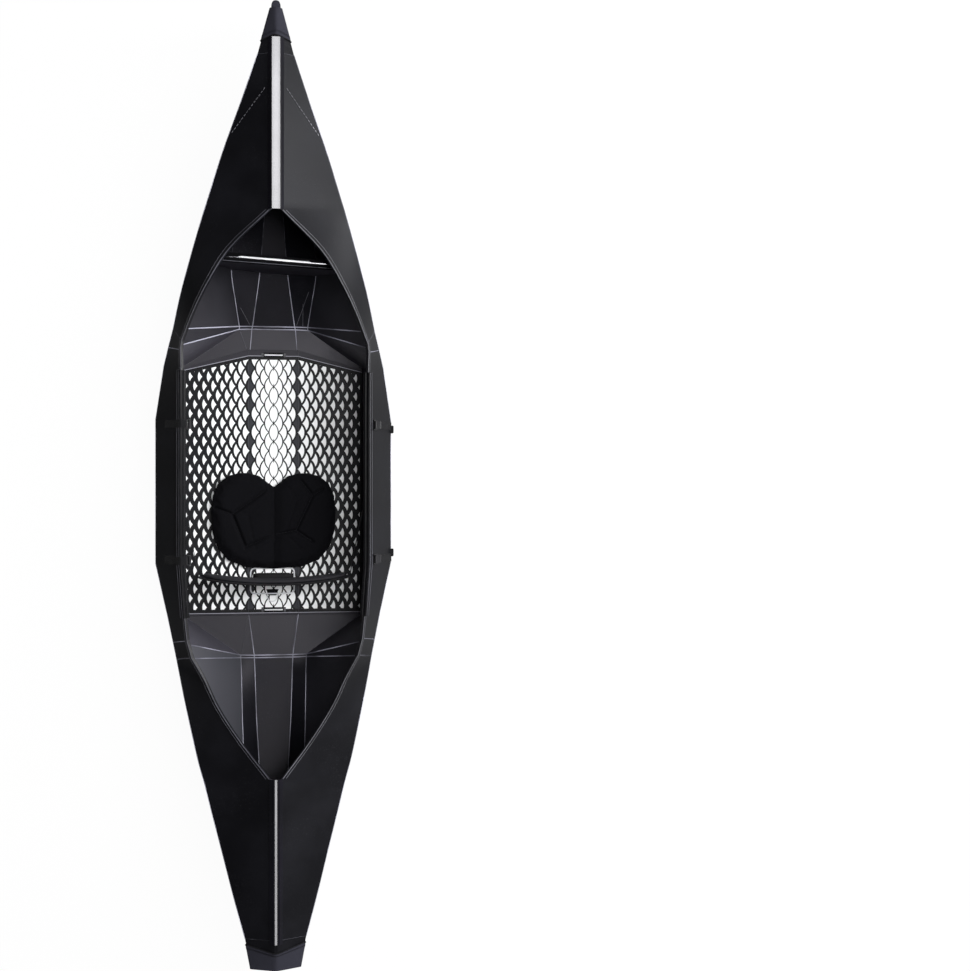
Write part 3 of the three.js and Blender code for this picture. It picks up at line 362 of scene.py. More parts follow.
def boardMaterial(look):
    # scales in columns on both sides of the keel, their round ends outwards. A column's rims are arcs of one
    # circle whose rise is a column's width and whose half chord is half a row. Black is where the nearest
    # rim is closer than half the line, which grows away from the keel; one column is filled with grey.
    material, tree, vector = newMaterial("printedBoard", {"Specular IOR Level": 0.12})
    column, halfRow = look["column"], look["halfRow"]
    radius = (halfRow ** 2 + column ** 2) / (2 * column)
    place = parted(vector)
    side = place[0].by("ABSOLUTE")
    number = (side / column).by("FLOOR")
    along = (place[1] - look["phase"]) / halfRow
    toCentre = (along + number.by("MODULO", 2.0)).by("PINGPONG", 1.0)
    inColumn = side - number * column

    def fromArc(across, lengthwise):
        return (across.by("POWER", 2.0) + (lengthwise * halfRow).by("POWER", 2.0)).by("SQRT")

    own = fromArc(inColumn + (radius - column), toCentre)
    inner = fromArc(inColumn + radius, 1.0 - toCentre)
    toRim = (own - radius).by("ABSOLUTE").by("MINIMUM", (inner - radius).by("ABSOLUTE"))
    white = ranged(toRim - (side * look["growth"] + look["thin"]), -0.0003, 0.0003)
    scale = number + 1.0 - own.by("LESS_THAN", radius)
    fold = scale.by("COMPARE", float(look["foldScale"]), 0.2)
    raked = (side - look["straight"]).by("MAXIMUM", 0.0) * look["rake"]
    toBorder = (look["frontAt"] - (place[1] + raked)).by("MINIMUM", place[1] - look["rearAt"])
    inField = side.by("LESS_THAN", look["sideAt"]) * toBorder.by("GREATER_THAN", 0.0)
    edgeLine = toBorder.by("COMPARE", -look["border"], look["edgeHalf"])
    grain = effect(tree, "grain", Vector=vector, Scale=800)
    dust = effect(tree, "dust", Vector=vector)["Mask"]
    flutes = effect(tree, "flutes", Across=place[1], Pitch=0.0042)
    filling = blended(fold, look["white"], look["foldGrey"])
    ground = blended(toBorder.by("LESS_THAN", -look["border"]), look["black"], look["beyond"])
    printed = blended(white * inField, blended(edgeLine, ground, look["edgeLine"]), filling)
    return finished(material, blended(dust * 0.1, printed, look["dustTone"]), grain["Cloud"] * 0.08 + 0.42,
                    flutes["Height"] + white * 0.4, 0.0001)


materials = {
    "sheet": sheetMaterial("corrugatedSheet", sheetLook),
    "floorMiddle": sheetMaterial("floorMiddleSheet", sheetLook | {"gloss": 0.38}),
    # the inner faces of these walls are painted lighter than the sheet, port more than starboard: painted
    # light from the lamps on the starboard side
    "wallPort": sheetMaterial("wallPortSheet", sheetLook | {"inner": "39383f"}),
    "wallStarboard": sheetMaterial("wallStarboardSheet", sheetLook | {"inner": "222127"}),
    "sternWallPort": sheetMaterial("sternWallPortSheet", sheetLook | {"inner": "323338"}),
    "floorSheet": sheetMaterial("floorSheet", floorLook | {"gloss": 0.05}),
    "sternFloor": sheetMaterial("sternFloorSheet", floorLook | {"gloss": 0.17}),
    "deck": sheetMaterial("deckSheet", deckLook),
    "bareSheet": plasticMaterial("bareSheet", "09090c", "101014", 0.4, gloss=0.12),
    # crease tones: the light lines of the folds and floor creases are partly whitened plastic and partly
    # painted highlights
    "faintCrease": plasticMaterial("faintCrease", "1c1c22", "50505a", 0.5, grainScale=300, relief=0.0002),
    "crease": plasticMaterial("creaseWhiteningAndHighlight", "4c4c56", "a8a8b8", 0.5, grainScale=300, relief=0.0002),
    "rail": plasticMaterial("glossRail", "0a0a0d", "0e0e12", 0.10, gloss=1.0, relief=0.000002),
    "railSide": plasticMaterial("railSide", "08080d", "0e0d15", 0.3, gloss=0.1, relief=0.00001),
    "bars": plasticMaterial("rimBars", "060608", "0b0b0e", 0.34, gloss=0.08, relief=0.00002),
    "trim": plasticMaterial("edgeTrim", "0b0b0e", "131317", 0.3, gloss=0.16),
    # pale tones of thin lines on the black trims, rim bars and foot brace: painted highlights; the first also
    # colours the tab blocks
    "bead": plasticMaterial("edgeBead", "2f2f35", "4c4c54", 0.3, gloss=0.3),
    "paintedRimHighlight": plasticMaterial("paintedRimHighlight", "34343c", "50505a", 0.3, gloss=0.3),
    "block": plasticMaterial("bracketBlock", "08080a", "101013", 0.5, gloss=0.1),
    "buckle": plasticMaterial("buckleNylon", "0e0e10", "19191c", 0.4, grainScale=2200, gloss=0.2),
    # foot brace: the face tone is painted lighter than the dark board, so the unlit aft face reads like the
    # floor (painted light); above the top height the lit top is painted dark (painted shade)
    "brace": plasticMaterial("braceBoard", "2c2b31", "39383f", 0.55, gloss=0.02, top=0.203),
    "thread": plasticMaterial("seamThread", "0b0b0e", "17171b", 0.7, gloss=0.1),
    "dashes": plasticMaterial("creaseDashes", "5a5a60", "8c8c92", 0.6),
    "loop": plasticMaterial("paleLoop", "c9cbd0", "e6e8ea", 0.35),
    "steel": plasticMaterial("pinSteel", "77797e", "9b9da1", 0.3),
    "sleeve": clothMaterial("sleeveKnit", "1d1d25", "34343f", 0.85, 0.0013, 0.0003, sheen=0.3),
    "cushion": clothMaterial("cushionKnit", "060609", "101014", 0.85, 0.0017, 0.0005, sheen=0.03, gloss=0.1),
    "backCloth": clothMaterial("backCloth", "131316", "34343a", 0.8, 0.0017, 0.0005, up=2),
    "webbing": webbingMaterial("blackWebbing", "040405", "101013", 0.75, 0.0014, 0.0003),
    "board": boardMaterial(boardPrint),
}
wire(materials["steel"].node_tree.nodes["Principled BSDF"], {"Metallic": 1.0})
wire(materials["rail"].node_tree.nodes["Principled BSDF"], {
    "Coat Weight": 1.0, "Coat IOR": 1.75, "Coat Roughness": 0.06, "Specular Tint": (0.93, 0.91, 1.0, 1.0)})
print("materials made:", len(materials))


# Mesh helpers
# Quads between rows of a grid whose rows close round, as an array of four indices each
def ringFaces(count, points):
    rows = np.arange(count - 1)[:, None] * points
    steps = np.arange(points)[None, :]
    following = (steps + 1) % points
    return np.stack([rows + steps, rows + following, rows + following + points, rows + steps + points],
                    -1).reshape(-1, 4)


# Quads over the end of a thin profile: its first point faces its last one, and so on inwards
def stripCap(start, points, flip):
    near = np.arange(points // 2 - 1)
    quads = np.stack([near, near + 1, points - 2 - near, points - 1 - near], -1) + start
    return quads[:, ::-1] if flip else quads


# All faces of a closed body through its rings, turned over if the volume that they enclose, a sum of corner
# products, is negative
def closedFaces(rings):
    count, points = rings.shape[:2]
    faces = np.concatenate([ringFaces(count, points), stripCap(0, points, True),
                            stripCap((count - 1) * points, points, False)])
    first, second, third, last = rings.reshape(-1, 3)[faces].transpose(1, 0, 2)
    volume = (first * np.cross(second, third)).sum() + (first * np.cross(third, last)).sum()
    return faces if volume > 0 else faces[:, ::-1]


# A piece of the scene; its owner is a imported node, or the body itself, or none where it is blended
def addPiece(name, places, faces, material, owner, smoothAngle=0.6, attributes=None):
    mesh = bpy.data.meshes.new(name)
    mesh.from_pydata(places.reshape(-1, 3).tolist(), [], [list(dict.fromkeys(f)) for f in faces.tolist()])
    mesh.update()
    mesh.polygons.foreach_set("use_smooth", [True] * len(mesh.polygons))
    mesh.set_sharp_from_angle(angle=smoothAngle)
    for label, (kind, values) in (attributes or {}).items():
        layer = mesh.attributes.new(label, kind, "POINT")
        layer.data.foreach_set("vector" if kind == "FLOAT_VECTOR" else "value",
                               values.astype(np.float32).reshape(-1))
    mesh.materials.append(materials[material])
    piece = addObject(name, mesh)
    if owner:
        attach(piece, bodyOf.get(owner, owner))
    return piece


def unit(vectors):
    return vectors / np.maximum(np.linalg.norm(vectors, axis=-1, keepdims=True), 1e-12)


# A closed body through rings of an even number of points, with strip caps at both ends
def lofted(name, rings, material, owner, smoothAngle=0.6, attributes=None):
    return addPiece(name, rings, closedFaces(rings), material, owner, smoothAngle, attributes)


# Rings of a circle, flattened along its up way, round each place of a path
def tubeParts(path, radius, count=8, ups=(0, 0, 1), flat=1.0):
    way = unit(np.gradient(path, axis=0))
    up = unit(np.asarray(ups, float) - (np.asarray(ups, float) * way).sum(-1, keepdims=True) * way)
    side = np.cross(way, up)
    angle = np.arange(count) / count * 2 * np.pi
    reach = np.asarray(radius, float).reshape(-1, 1, 1)
    return path[:, None] + reach * (np.cos(angle)[None, :, None] * side[:, None]
                                    + flat * np.sin(angle)[None, :, None] * up[:, None])


# One piece made of several closed tubes, each given as its rings
def tubes(name, rows, material, owner):
    flat = [rings.reshape(-1, 3) for rings in rows]
    starts = np.cumsum([0] + [len(part) for part in flat[:-1]])
    faces = [closedFaces(rings) + start for rings, start in zip(rows, starts)]
    return addPiece(name, np.concatenate(flat), np.concatenate(faces), material, owner, 0.9)


# Rounds each corner of a closed outline: a parabola from cut before the corner to cut after it
def softened(outline, cut, steps=3):
    outline = np.asarray(outline, float)
    before, after = np.roll(outline, 1, 0), np.roll(outline, -1, 0)
    near = np.minimum(cut, 0.45 * np.linalg.norm(before - outline, axis=1))[:, None]
    far = np.minimum(cut, 0.45 * np.linalg.norm(after - outline, axis=1))[:, None]
    start = outline + unit(before - outline) * near
    end = outline + unit(after - outline) * far
    share = np.linspace(0, 1, steps)[None, :, None]
    curve = (1 - share) ** 2 * start[:, None] + 2 * share * (1 - share) * outline[:, None]
    return (curve + share ** 2 * end[:, None]).reshape(-1, outline.shape[1])


# Places along a bent path, each stretch between two corners in the same number of steps
def pathPlaces(corners, steps):
    corners = np.asarray(corners, float)
    share = np.linspace(0, len(corners) - 1, (len(corners) - 1) * steps + 1)
    start = np.minimum(share.astype(int), len(corners) - 2)
    return corners[start] + (share - start)[:, None] * (corners[start + 1] - corners[start])


# Hull lines of the starboard half, from the stern fold to the bow fold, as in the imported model. Each row is
# a station: the share of the half length along, of the half beam out and of the ridge height up.
hullSize = {"halfLength": 1.475, "halfBeam": 0.367, "ridgeHeight": 0.330, "sheet": 0.0045,
            "ridgeGap": 0.0007}
keelShares = [
    [-0.936, 0.068, 0.327], [-0.857, 0.084, 0.255], [-0.776, 0.101, 0.188], [-0.671, 0.123, 0.121],
    [-0.608, 0.134, 0.088], [-0.597, 0.136, 0.082], [-0.508, 0.155, 0.042], [-0.437, 0.163, 0.018],
    [-0.4, 0.166, 0.008], [-0.377, 0.169, 0.002], [-0.3715, 0.169, 0], [-0.28, 0.218, 0],
    [-0.164, 0.218, 0], [0.14, 0.218, 0], [0.252, 0.218, 0], [0.344, 0.191, 0],
    [0.35, 0.185, 0.002], [0.4, 0.158, 0.018], [0.468, 0.123, 0.042], [0.536, 0.101, 0.073],
    [0.576, 0.09, 0.094], [0.583, 0.087, 0.097], [0.704, 0.065, 0.176], [0.792, 0.044, 0.255],
    [0.892, 0.022, 0.364],
]
chineShares = [
    [-0.936, 0.131, 0.53], [-0.857, 0.169, 0.455], [-0.776, 0.207, 0.379], [-0.671, 0.245, 0.303],
    [-0.608, 0.264, 0.255], [-0.597, 0.267, 0.245], [-0.508, 0.281, 0.167], [-0.437, 0.286, 0.091],
    [-0.4, 0.289, 0.042], [-0.377, 0.292, 0.005], [-0.3715, 0.292, 0.001], [-0.2845, 0.79, 0],
    [-0.164, 0.79, 0], [0.14, 0.79, 0], [0.262, 0.79, 0], [0.344, 0.305, 0.001],
    [0.35, 0.305, 0.005], [0.4, 0.338, 0.067], [0.468, 0.376, 0.136], [0.536, 0.349, 0.2],
    [0.576, 0.311, 0.242], [0.583, 0.305, 0.248], [0.704, 0.204, 0.345], [0.792, 0.131, 0.455],
    [0.892, 0.065, 0.606],
]
sheerShares = [
    [-0.936, 0.253, 0.873], [-0.857, 0.341, 0.83], [-0.776, 0.425, 0.794], [-0.671, 0.534, 0.755],
    [-0.608, 0.599, 0.733], [-0.597, 0.612, 0.73], [-0.508, 0.698, 0.691], [-0.437, 0.76, 0.648],
    [-0.39, 0.798, 0.612], [-0.363, 0.82, 0.585], [-0.328, 0.85, 0.555], [-0.271, 0.9, 0.509],
    [-0.164, 1, 0.439], [0.14, 1, 0.439], [0.252, 0.929, 0.497], [0.291, 0.891, 0.521],
    [0.33, 0.85, 0.555], [0.395, 0.793, 0.606], [0.478, 0.703, 0.673], [0.536, 0.635, 0.712],
    [0.576, 0.586, 0.736], [0.587, 0.572, 0.739], [0.704, 0.423, 0.779], [0.792, 0.292, 0.845],
    [0.892, 0.15, 0.918],
]
rimShares = [
    [-0.936, 0, 1], [-0.857, 0, 1], [-0.776, 0, 1], [-0.671, 0, 1],
    [-0.608, 0, 1], [-0.603, 0.057, 0.979], [-0.527, 0.294, 0.903], [-0.4515, 0.488, 0.852],
    [-0.4, 0.586, 0.833], [-0.355, 0.687, 0.821], [-0.32, 0.725, 0.812], [-0.273, 0.744, 0.806],
    [-0.164, 0.774, 0.803], [0.14, 0.774, 0.803], [0.239, 0.774, 0.806], [0.281, 0.779, 0.809],
    [0.299, 0.771, 0.812], [0.36, 0.678, 0.824], [0.42, 0.561, 0.848], [0.49, 0.381, 0.897],
    [0.568, 0.057, 0.979], [0.574, 0, 1], [0.704, 0, 1], [0.792, 0, 1],
    [0.892, 0, 1],
]
at = {
    "sternFold": 0, "sternSeamStart": 4, "sternPoint": 5, "sternDeckFold": 9, "sternFloorFold": 10,
    "sternRailEnd": 11, "bowRailEnd": 14, "bowFloorFold": 15, "bowDeckFold": 16, "underBrace": 18,
    "bowPoint": 20, "bowSeamStart": 21, "bowFold": 24,
}
middleCorners = range(at["sternDeckFold"], at["bowDeckFold"] + 1)
cornerStations = {1: middleCorners, 2: middleCorners, 3: middleCorners,
                  4: (at["sternSeamStart"], at["sternPoint"], *middleCorners, at["bowPoint"],
                      at["bowSeamStart"])}


def hullTable(number):
    shares = np.array((keelShares, chineShares, sheerShares, rimShares)[number - 1])
    out = shares[:, 1] * hullSize["halfBeam"]
    if number == 4:
        out = np.maximum(out, hullSize["ridgeGap"])
    return np.stack([out, shares[:, 0] * hullSize["halfLength"], shares[:, 2] * hullSize["ridgeHeight"]], 1)


# Slopes of x and z by y at both ends of each segment: smooth stations share the mean of their two
# secants, each weighted by the other's run, and corner stations keep each segment's own secant
def tableSlopes(number, table):
    run = np.diff(table[:, 1])[:, None]
    secant = np.diff(table[:, [0, 2]], axis=0) / run
    start, end = secant.copy(), secant.copy()
    shared = (run[1:] * secant[:-1] + run[:-1] * secant[1:]) / (run[1:] + run[:-1])
    smooth = np.array([station not in cornerStations[number] for station in range(1, len(table) - 1)])
    start[1:][smooth] = shared[smooth]
    end[:-1][smooth] = shared[smooth]
    return start, end


hullTables = {number: hullTable(number) for number in cornerStations}
hullSlopes = {number: tableSlopes(number, table) for number, table in hullTables.items()}


# Places on a hull line at station numbers: y runs evenly between stations, x and z are cubic in y
def hullLine(line, station):
    number = abs(line)
    table = hullTables[number]
    startSlope, endSlope = hullSlopes[number]
    station = np.clip(np.asarray(station, float), 0, len(table) - 1)
    segment = np.minimum(station.astype(int), len(table) - 2)
    share = (station - segment)[:, None]
    start, end = table[segment], table[segment + 1]
    run = end[:, 1:2] - start[:, 1:2]
    flat = [0, 2]
    curve = ((1 + 2 * share) * (1 - share) ** 2 * start[:, flat] + share * (1 - share) ** 2 * run
             * startSlope[segment] + share ** 2 * (3 - 2 * share) * end[:, flat]
             + share ** 2 * (share - 1) * run * endSlope[segment])
    spot = np.stack([curve[:, 0], start[:, 1] + share[:, 0] * run[:, 0], curve[:, 1]], 1)
    return spot * [np.sign(line), 1, 1]


def lineTangent(line, station):
    small = 1e-3
    here = hullLine(line, station)
    return unit(unit(here - hullLine(line, np.asarray(station) - small))
                + unit(hullLine(line, np.asarray(station) + small) - here))


# Outward normal at a line of the starboard half, on the strip of sheet that ends at the strip's line
def stripNormal(line, station, strip):
    start = -1 if strip == 1 else strip - 1
    across = unit(hullLine(strip, station) - hullLine(start, station))
    return unit(np.cross(lineTangent(line, station), across))


# The same line on the inner face, mitred between the strips that meet there
def innerLine(line, station):
    if line < 0:
        return innerLine(-line, station) * [-1, 1, 1]
    before = stripNormal(line, station, line)
    after = before if line == 4 else stripNormal(line, station, line + 1)
    mitre = (before + after) / (1 + (before * after).sum(-1, keepdims=True))
    return hullLine(line, station) - mitre * hullSize["sheet"]


def stationSteps(first, last, reach=0.016):
    steps = []
    for start in range(first, last):
        length = np.linalg.norm(hullTables[3][start + 1] - hullTables[3][start])
        steps.append(np.linspace(start, start + 1, max(2, int(np.ceil(length / reach)) + 1))[:-1])
    return np.concatenate(steps + [[last]])


panelLook = {"columns": 6, "deckGap": 0.0007}


# One panel: its outer rows over the lines and its inner rows back, joined round both edges
def sheetPanel(node, lines, run, material, slotName="sheet", gaps=(0, 0)):
    station = stationSteps(*run)
    columns = np.linspace(0, len(lines) - 1, (len(lines) - 1) * panelLook["columns"] + 1)
    start = np.minimum(columns.astype(int), len(lines) - 2)
    share = (columns - start)[None, :, None]
    skins = []
    for lineOf in (hullLine, innerLine):
        rows = np.stack([lineOf(line, station) for line in lines], 1)
        rows[0, :, 1] += gaps[0]
        rows[-1, :, 1] -= gaps[1]
        skins.append(rows[:, start] * (1 - share) + rows[:, start + 1] * share)
    outer, inner = skins
    across = np.linalg.norm(np.diff(outer, axis=1), axis=2).sum(1)[:, None] / (len(lines) - 1)
    toLine = np.abs(columns - np.round(columns))[None, :] * across
    along = np.concatenate([[0], np.cumsum(np.linalg.norm(np.diff(outer.mean(1), axis=0), axis=1))])
    place = np.stack(np.broadcast_arrays(toLine, along[:, None], (along[-1] - along)[:, None]), -1)
    place = np.concatenate([place, place[:, ::-1]], 1)
    inside = np.broadcast_to(np.repeat([0.0, 1.0], len(columns))[None, :], place.shape[:2])
    piece = lofted(node + "_sheet", np.concatenate([outer, inner[:, ::-1]], 1), material, node,
                   0.5, {"sheetPlace": ("FLOAT_VECTOR", place), "sheetInner": ("FLOAT", inside)})
    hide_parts(node)


def makeSheet():
    gap = panelLook["deckGap"]
    middle = (at["sternFloorFold"], at["bowFloorFold"])
    stern, bow = (at["sternFold"], middle[0]), (middle[1], at["bowFold"])
    sheetPanel("floor_middle", [-2, -1, 1, 2], middle, "floorMiddle")
    sheetPanel("keel_bow", [-1, 1], bow, "floorSheet")
    sheetPanel("keel_stern", [-1, 1], stern, "sternFloor")
    for side, name in sides:
        bottom, wall, top = [side, 2 * side], [2 * side, 3 * side], [3 * side, 4 * side]
        sternWall = "sternWallPort" if side < 0 else "sheet"
        for node, *panel in (
                ("floor_bow", bottom, bow, "floorSheet"), ("floor_stern", bottom, stern, "sternFloor"),
                ("side_middle", wall, middle, "wall" + name.capitalize()),
                ("side_bow", wall, bow, "sheet"), ("side_stern", wall, stern, sternWall)):
            sheetPanel(f"{node}_{name}", *panel)
        for node, run, gaps in (
                ("gunwale_strip", (at["sternDeckFold"], at["bowDeckFold"]), (gap, gap)),
                ("bow_deck", (at["bowDeckFold"], at["bowFold"]), (gap, 0)),
                ("stern_deck", (at["sternFold"], at["sternDeckFold"]), (0, gap))):
            sheetPanel(f"{node}_{name}", top, run, "deck", "deck_sheet", gaps)


makeSheet()
print("sheet panels made")


# Fold lines: a narrow raised bead where two panels meet, in a pale tone that is partly whitened plastic and
# partly a painted highlight
foldLook = {"inside": 0.0014, "outside": 0.0010, "crossing": 0.0019, "flat": 0.6, "sides": 6,
            "upperFrom": 0.03, "upperTo": 0.9}


def foldBead(path, kind):
    return tubeParts(path, foldLook[kind], foldLook["sides"], flat=foldLook["flat"])


def makeFolds():
    sternFloor, bowFloor = at["sternFloorFold"], at["bowFloorFold"]
    within = [(line, at["sternFold"], sternFloor) for line in (-2, -1, 1, 2)]
    within += [(line, bowFloor, at["underBrace"]) for line in (-2, -1, 1, 2)]
    within += [(line, sternFloor, bowFloor) for line in (-1, 1)]
    rows = [foldBead(innerLine(line, stationSteps(*run)), "inside") for line, *run in within]
    whole = stationSteps(at["sternFold"], at["bowFold"])
    rows += [foldBead(hullLine(line, whole), "outside") for line in (-3, -2, -1, 1, 2, 3)]
    for station in (at["sternDeckFold"], sternFloor, bowFloor, at["bowDeckFold"]):
        corners = [innerLine(line, [station])[0] for line in (-3, -2, -1, 1, 2, 3)]
        rows.append(foldBead(pathPlaces(corners, 8), "crossing"))
    for station in (sternFloor, bowFloor):
        for side in (-1, 1):
            low, high = (hullLine(line * side, [station])[0] for line in (3, 4))
            share = np.linspace(foldLook["upperFrom"], foldLook["upperTo"], 9)[:, None]
            rows.append(foldBead(low + share * (high - low), "outside"))
    tubes("hull_fold_lines", rows, "crease", "hull")


makeFolds()
print("fold lines made")


# Rails and trims on the rims: an outline in depth into the sheet and height out of it, and thin lines of a
# paler tone that are painted highlights, each at a depth and a height and of a radius
trimLook = {"gap": 0.0003, "wall": 0.002, "depth": 0.010, "round": 0.0009, "material": "trim",
            "lines": [(-0.0010, 0.0018, 0.0016), (0.0098, 0.0021, 0.0010)], "lineMaterial": "bead"}
railLook = {"head": 0.007, "depth": 0.014, "bar": 0.008, "groove": 0.003, "round": 0.0022,
            "material": "bars", "lines": [(0.0006, 0.0082, 0.0008), (0.0126, 0.0080, 0.0009)],
            "lineMaterial": "paintedRimHighlight"}


def rimPlace(station, outline):
    base = hullLine(4, station)
    into = unit(hullLine(3, station) - base)
    out = stripNormal(4, station, 4)
    outline = np.asarray(outline)
    return base[:, None] + into[:, None] * outline[None, :, :1] + out[:, None] * outline[None, :, 1:]


# Down one leg of the outline and back up the other, with the sheet between them
def rimOutline(head, depth, thick, groove=()):
    above, below = trimLook["gap"], -hullSize["sheet"] - trimLook["gap"]
    return [[-head, above + thick], [depth, above + thick], [depth, above], [-above, above],
            [-above, below], [depth, below], [depth, below - thick], [-head, below - thick], *groove]


def trimOutline(look):
    return softened(rimOutline(look["gap"] + look["wall"], look["depth"], look["wall"]), look["round"])


def railOutline(look):
    above, below = trimLook["gap"], -hullSize["sheet"] - trimLook["gap"]
    head = look["head"]
    groove = [[-head, below], [look["groove"] - head, -hullSize["sheet"] / 2], [-head, above]]
    return softened(rimOutline(head, look["depth"], look["bar"], groove), look["round"], 4)


def makeRims():
    kinds = {"trim": (trimLook, trimOutline(trimLook)), "rail": (railLook, railOutline(railLook))}
    for side, name in sides:
        rail = f"rim_rail_{name}"
        for node, bar, lines, kind, start, end in (
                (rail, "rim_rail_bars", "rim_rail_glints", "rail", "sternRailEnd", "bowRailEnd"),
                (rail, "rim_rail_bow_run", "bow_run_beads", "trim", "bowRailEnd", "bowDeckFold"),
                (rail, "rim_rail_stern_run", "stern_run_beads", "trim", "sternDeckFold", "sternRailEnd"),
                (f"bow_rim_trim_{name}", "bow_trim", "bow_trim_beads", "trim", "bowDeckFold", "bowPoint"),
                (f"stern_rim_trim_{name}", "stern_trim", "stern_trim_beads", "trim", "sternPoint",
                 "sternDeckFold")):
            look, outline = kinds[kind]
            station = stationSteps(at[start], at[end])
            flip = [side, 1, 1]
            piece = lofted(f"{bar}_{name}", rimPlace(station, outline) * flip, look["material"], node,
                           0.7)
            if not bar.endswith("run"):
                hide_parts(node)
            # thin pale lines along the run: painted highlights
            rows = [tubeParts(rimPlace(station, [[depth, height]])[:, 0] * flip, radius, 6)
                    for depth, height, radius in look["lines"]]
            tubes(f"{lines}_{name}", rows, look["lineMaterial"], node)


makeRims()
print("rims made")


# Seam rails over the ridge: a flat crown with sloping shoulders that follow the two decks. The shoulders
# are places out as shares of the half width, of which the crown takes the flat share.
seamLook = {
    "bow": {"half": 0.024, "crown": 0.0125, "run": ("bowSeamStart", "bowFold"), "ends": (-0.006, 0.046)},
    "stern": {"half": 0.0205, "crown": 0.0068, "run": ("sternFold", "sternSeamStart"),
              "ends": (-0.011, 0.006)},
    "lift": 0.0046, "roof": 0.0032, "gap": 0.0004, "camber": 0.0001, "reach": 0.03, "flat": 0.6,
    "shoulders": (-1, -0.86, -0.72, -0.6, -0.3, 0, 0.3, 0.6, 0.72, 0.86, 1),
}


def seamRail(end):
    look, flat = seamLook[end], seamLook["flat"]
    node = f"{end}_seam_rail"
    station = stationSteps(*(at[place] for place in look["run"]), seamLook["reach"])
    ridge = hullLine(4, station)
    slope = hullLine(3, station) - ridge
    fall = -slope[:, 2] / slope[:, 0]
    ridge[[0, -1], 1] += look["ends"]
    half, crown = look["half"], look["crown"]
    side = np.array(seamLook["shoulders"])
    x = np.where(np.abs(side) <= flat, side / flat * crown,
                 np.sign(side) * (crown + (np.abs(side) - flat) / (1 - flat) * (half - crown)))
    deck = ridge[:, 2:3] - fall[:, None] * np.abs(x)[None, :]
    top = ridge[:, 2:3] + seamLook["lift"] - seamLook["camber"] * (x[None, :] / crown) ** 2
    edge = deck + seamLook["roof"]
    share = np.clip((np.abs(x) - crown) / (half - crown), 0, 1)[None, :]
    ease = share * share * (3 - 2 * share)
    upper = np.maximum(top * (1 - ease) + edge * ease, edge)
    skins = [np.stack(np.broadcast_arrays(x[None, :], ridge[:, 1:2], height), -1)
             for height in (upper, deck + seamLook["gap"])]
    piece = lofted(node + "_cover", np.concatenate([skins[0], skins[1][:, ::-1]], 1), "rail", node,
                   0.35)
    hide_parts(node)
    piece.data.materials.append(materials["railSide"])
    middles = np.zeros(len(piece.data.polygons) * 3, np.float32)
    piece.data.polygons.foreach_get("center", middles)
    onSide = np.abs(middles.reshape(-1, 3)[:, 0]) > crown
    piece.data.polygons.foreach_set("material_index", onSide.astype(np.int32))


seamRail("bow")
seamRail("stern")
print("seam rails made")


# End sleeves: a stretched knit tube over each folded end, closed at the tip, with a bound front edge. The
# tip's places are shares of the half beam out and of the ridge height up. The bow's edge is scooped in its
# middle; the stern's edge stands back by a length at each share of its half width.
sleeveLook = {
    "bow": {"station": at["bowFold"], "length": 0.098, "scoop": 0.014, "tipY": 1.4527,
            "tip": [[0.01, 0.46], [0.022, 0.7], [0.046, 0.955], [0.012, 0.985]]},
    "stern": {"station": at["sternFold"], "length": 0.084, "tipY": -1.4717,
              "back": [(0, 0.032), (0.22, 0.02944), (0.4, 0.0144), (0.6, 0), (0.85, 0.0084), (1, 0.012)],
              "tip": [[0.054, 0.37], [0.106, 0.56], [0.205, 0.891], [0.014, 0.98]]},
    "cloth": 0.0028, "gap": 0.0004, "round": 0.007, "rows": 26, "hem": 0.0016, "mitre": 1.6,
    "ripple": 0.0005, "waves": (95, 60, 70), "closing": [(0.55, 0.0012), (0.85, 0.0026), (1.0, 0.0032)],
    "closedSize": (0.55, 1, 0.9), "wall": 0.8,
    "seamRows": (3, 4), "seamLift": 0.0006, "seam": 0.0005,
}


def wholeRing(half):
    half = np.asarray(half)
    return np.concatenate([half, half[::-1] * [-1, 1, 1]])


# Moves a ring that lies across the hull outwards by the mitred normals of its sides
def swelled(ring, distance):
    flat = ring[:, [0, 2]]
    way = unit(np.roll(flat, -1, 0) - flat)
    normal = np.stack([way[:, 1], -way[:, 0]], 1)
    normal *= np.sign((normal * (flat - flat.mean(0))).sum())
    before = np.roll(normal, 1, 0)
    mitre = (before + normal) / (1 + (before * normal).sum(1, keepdims=True))
    moved = ring.copy()
    moved[:, [0, 2]] += np.clip(mitre, -sleeveLook["mitre"], sleeveLook["mitre"]) * distance
    return moved


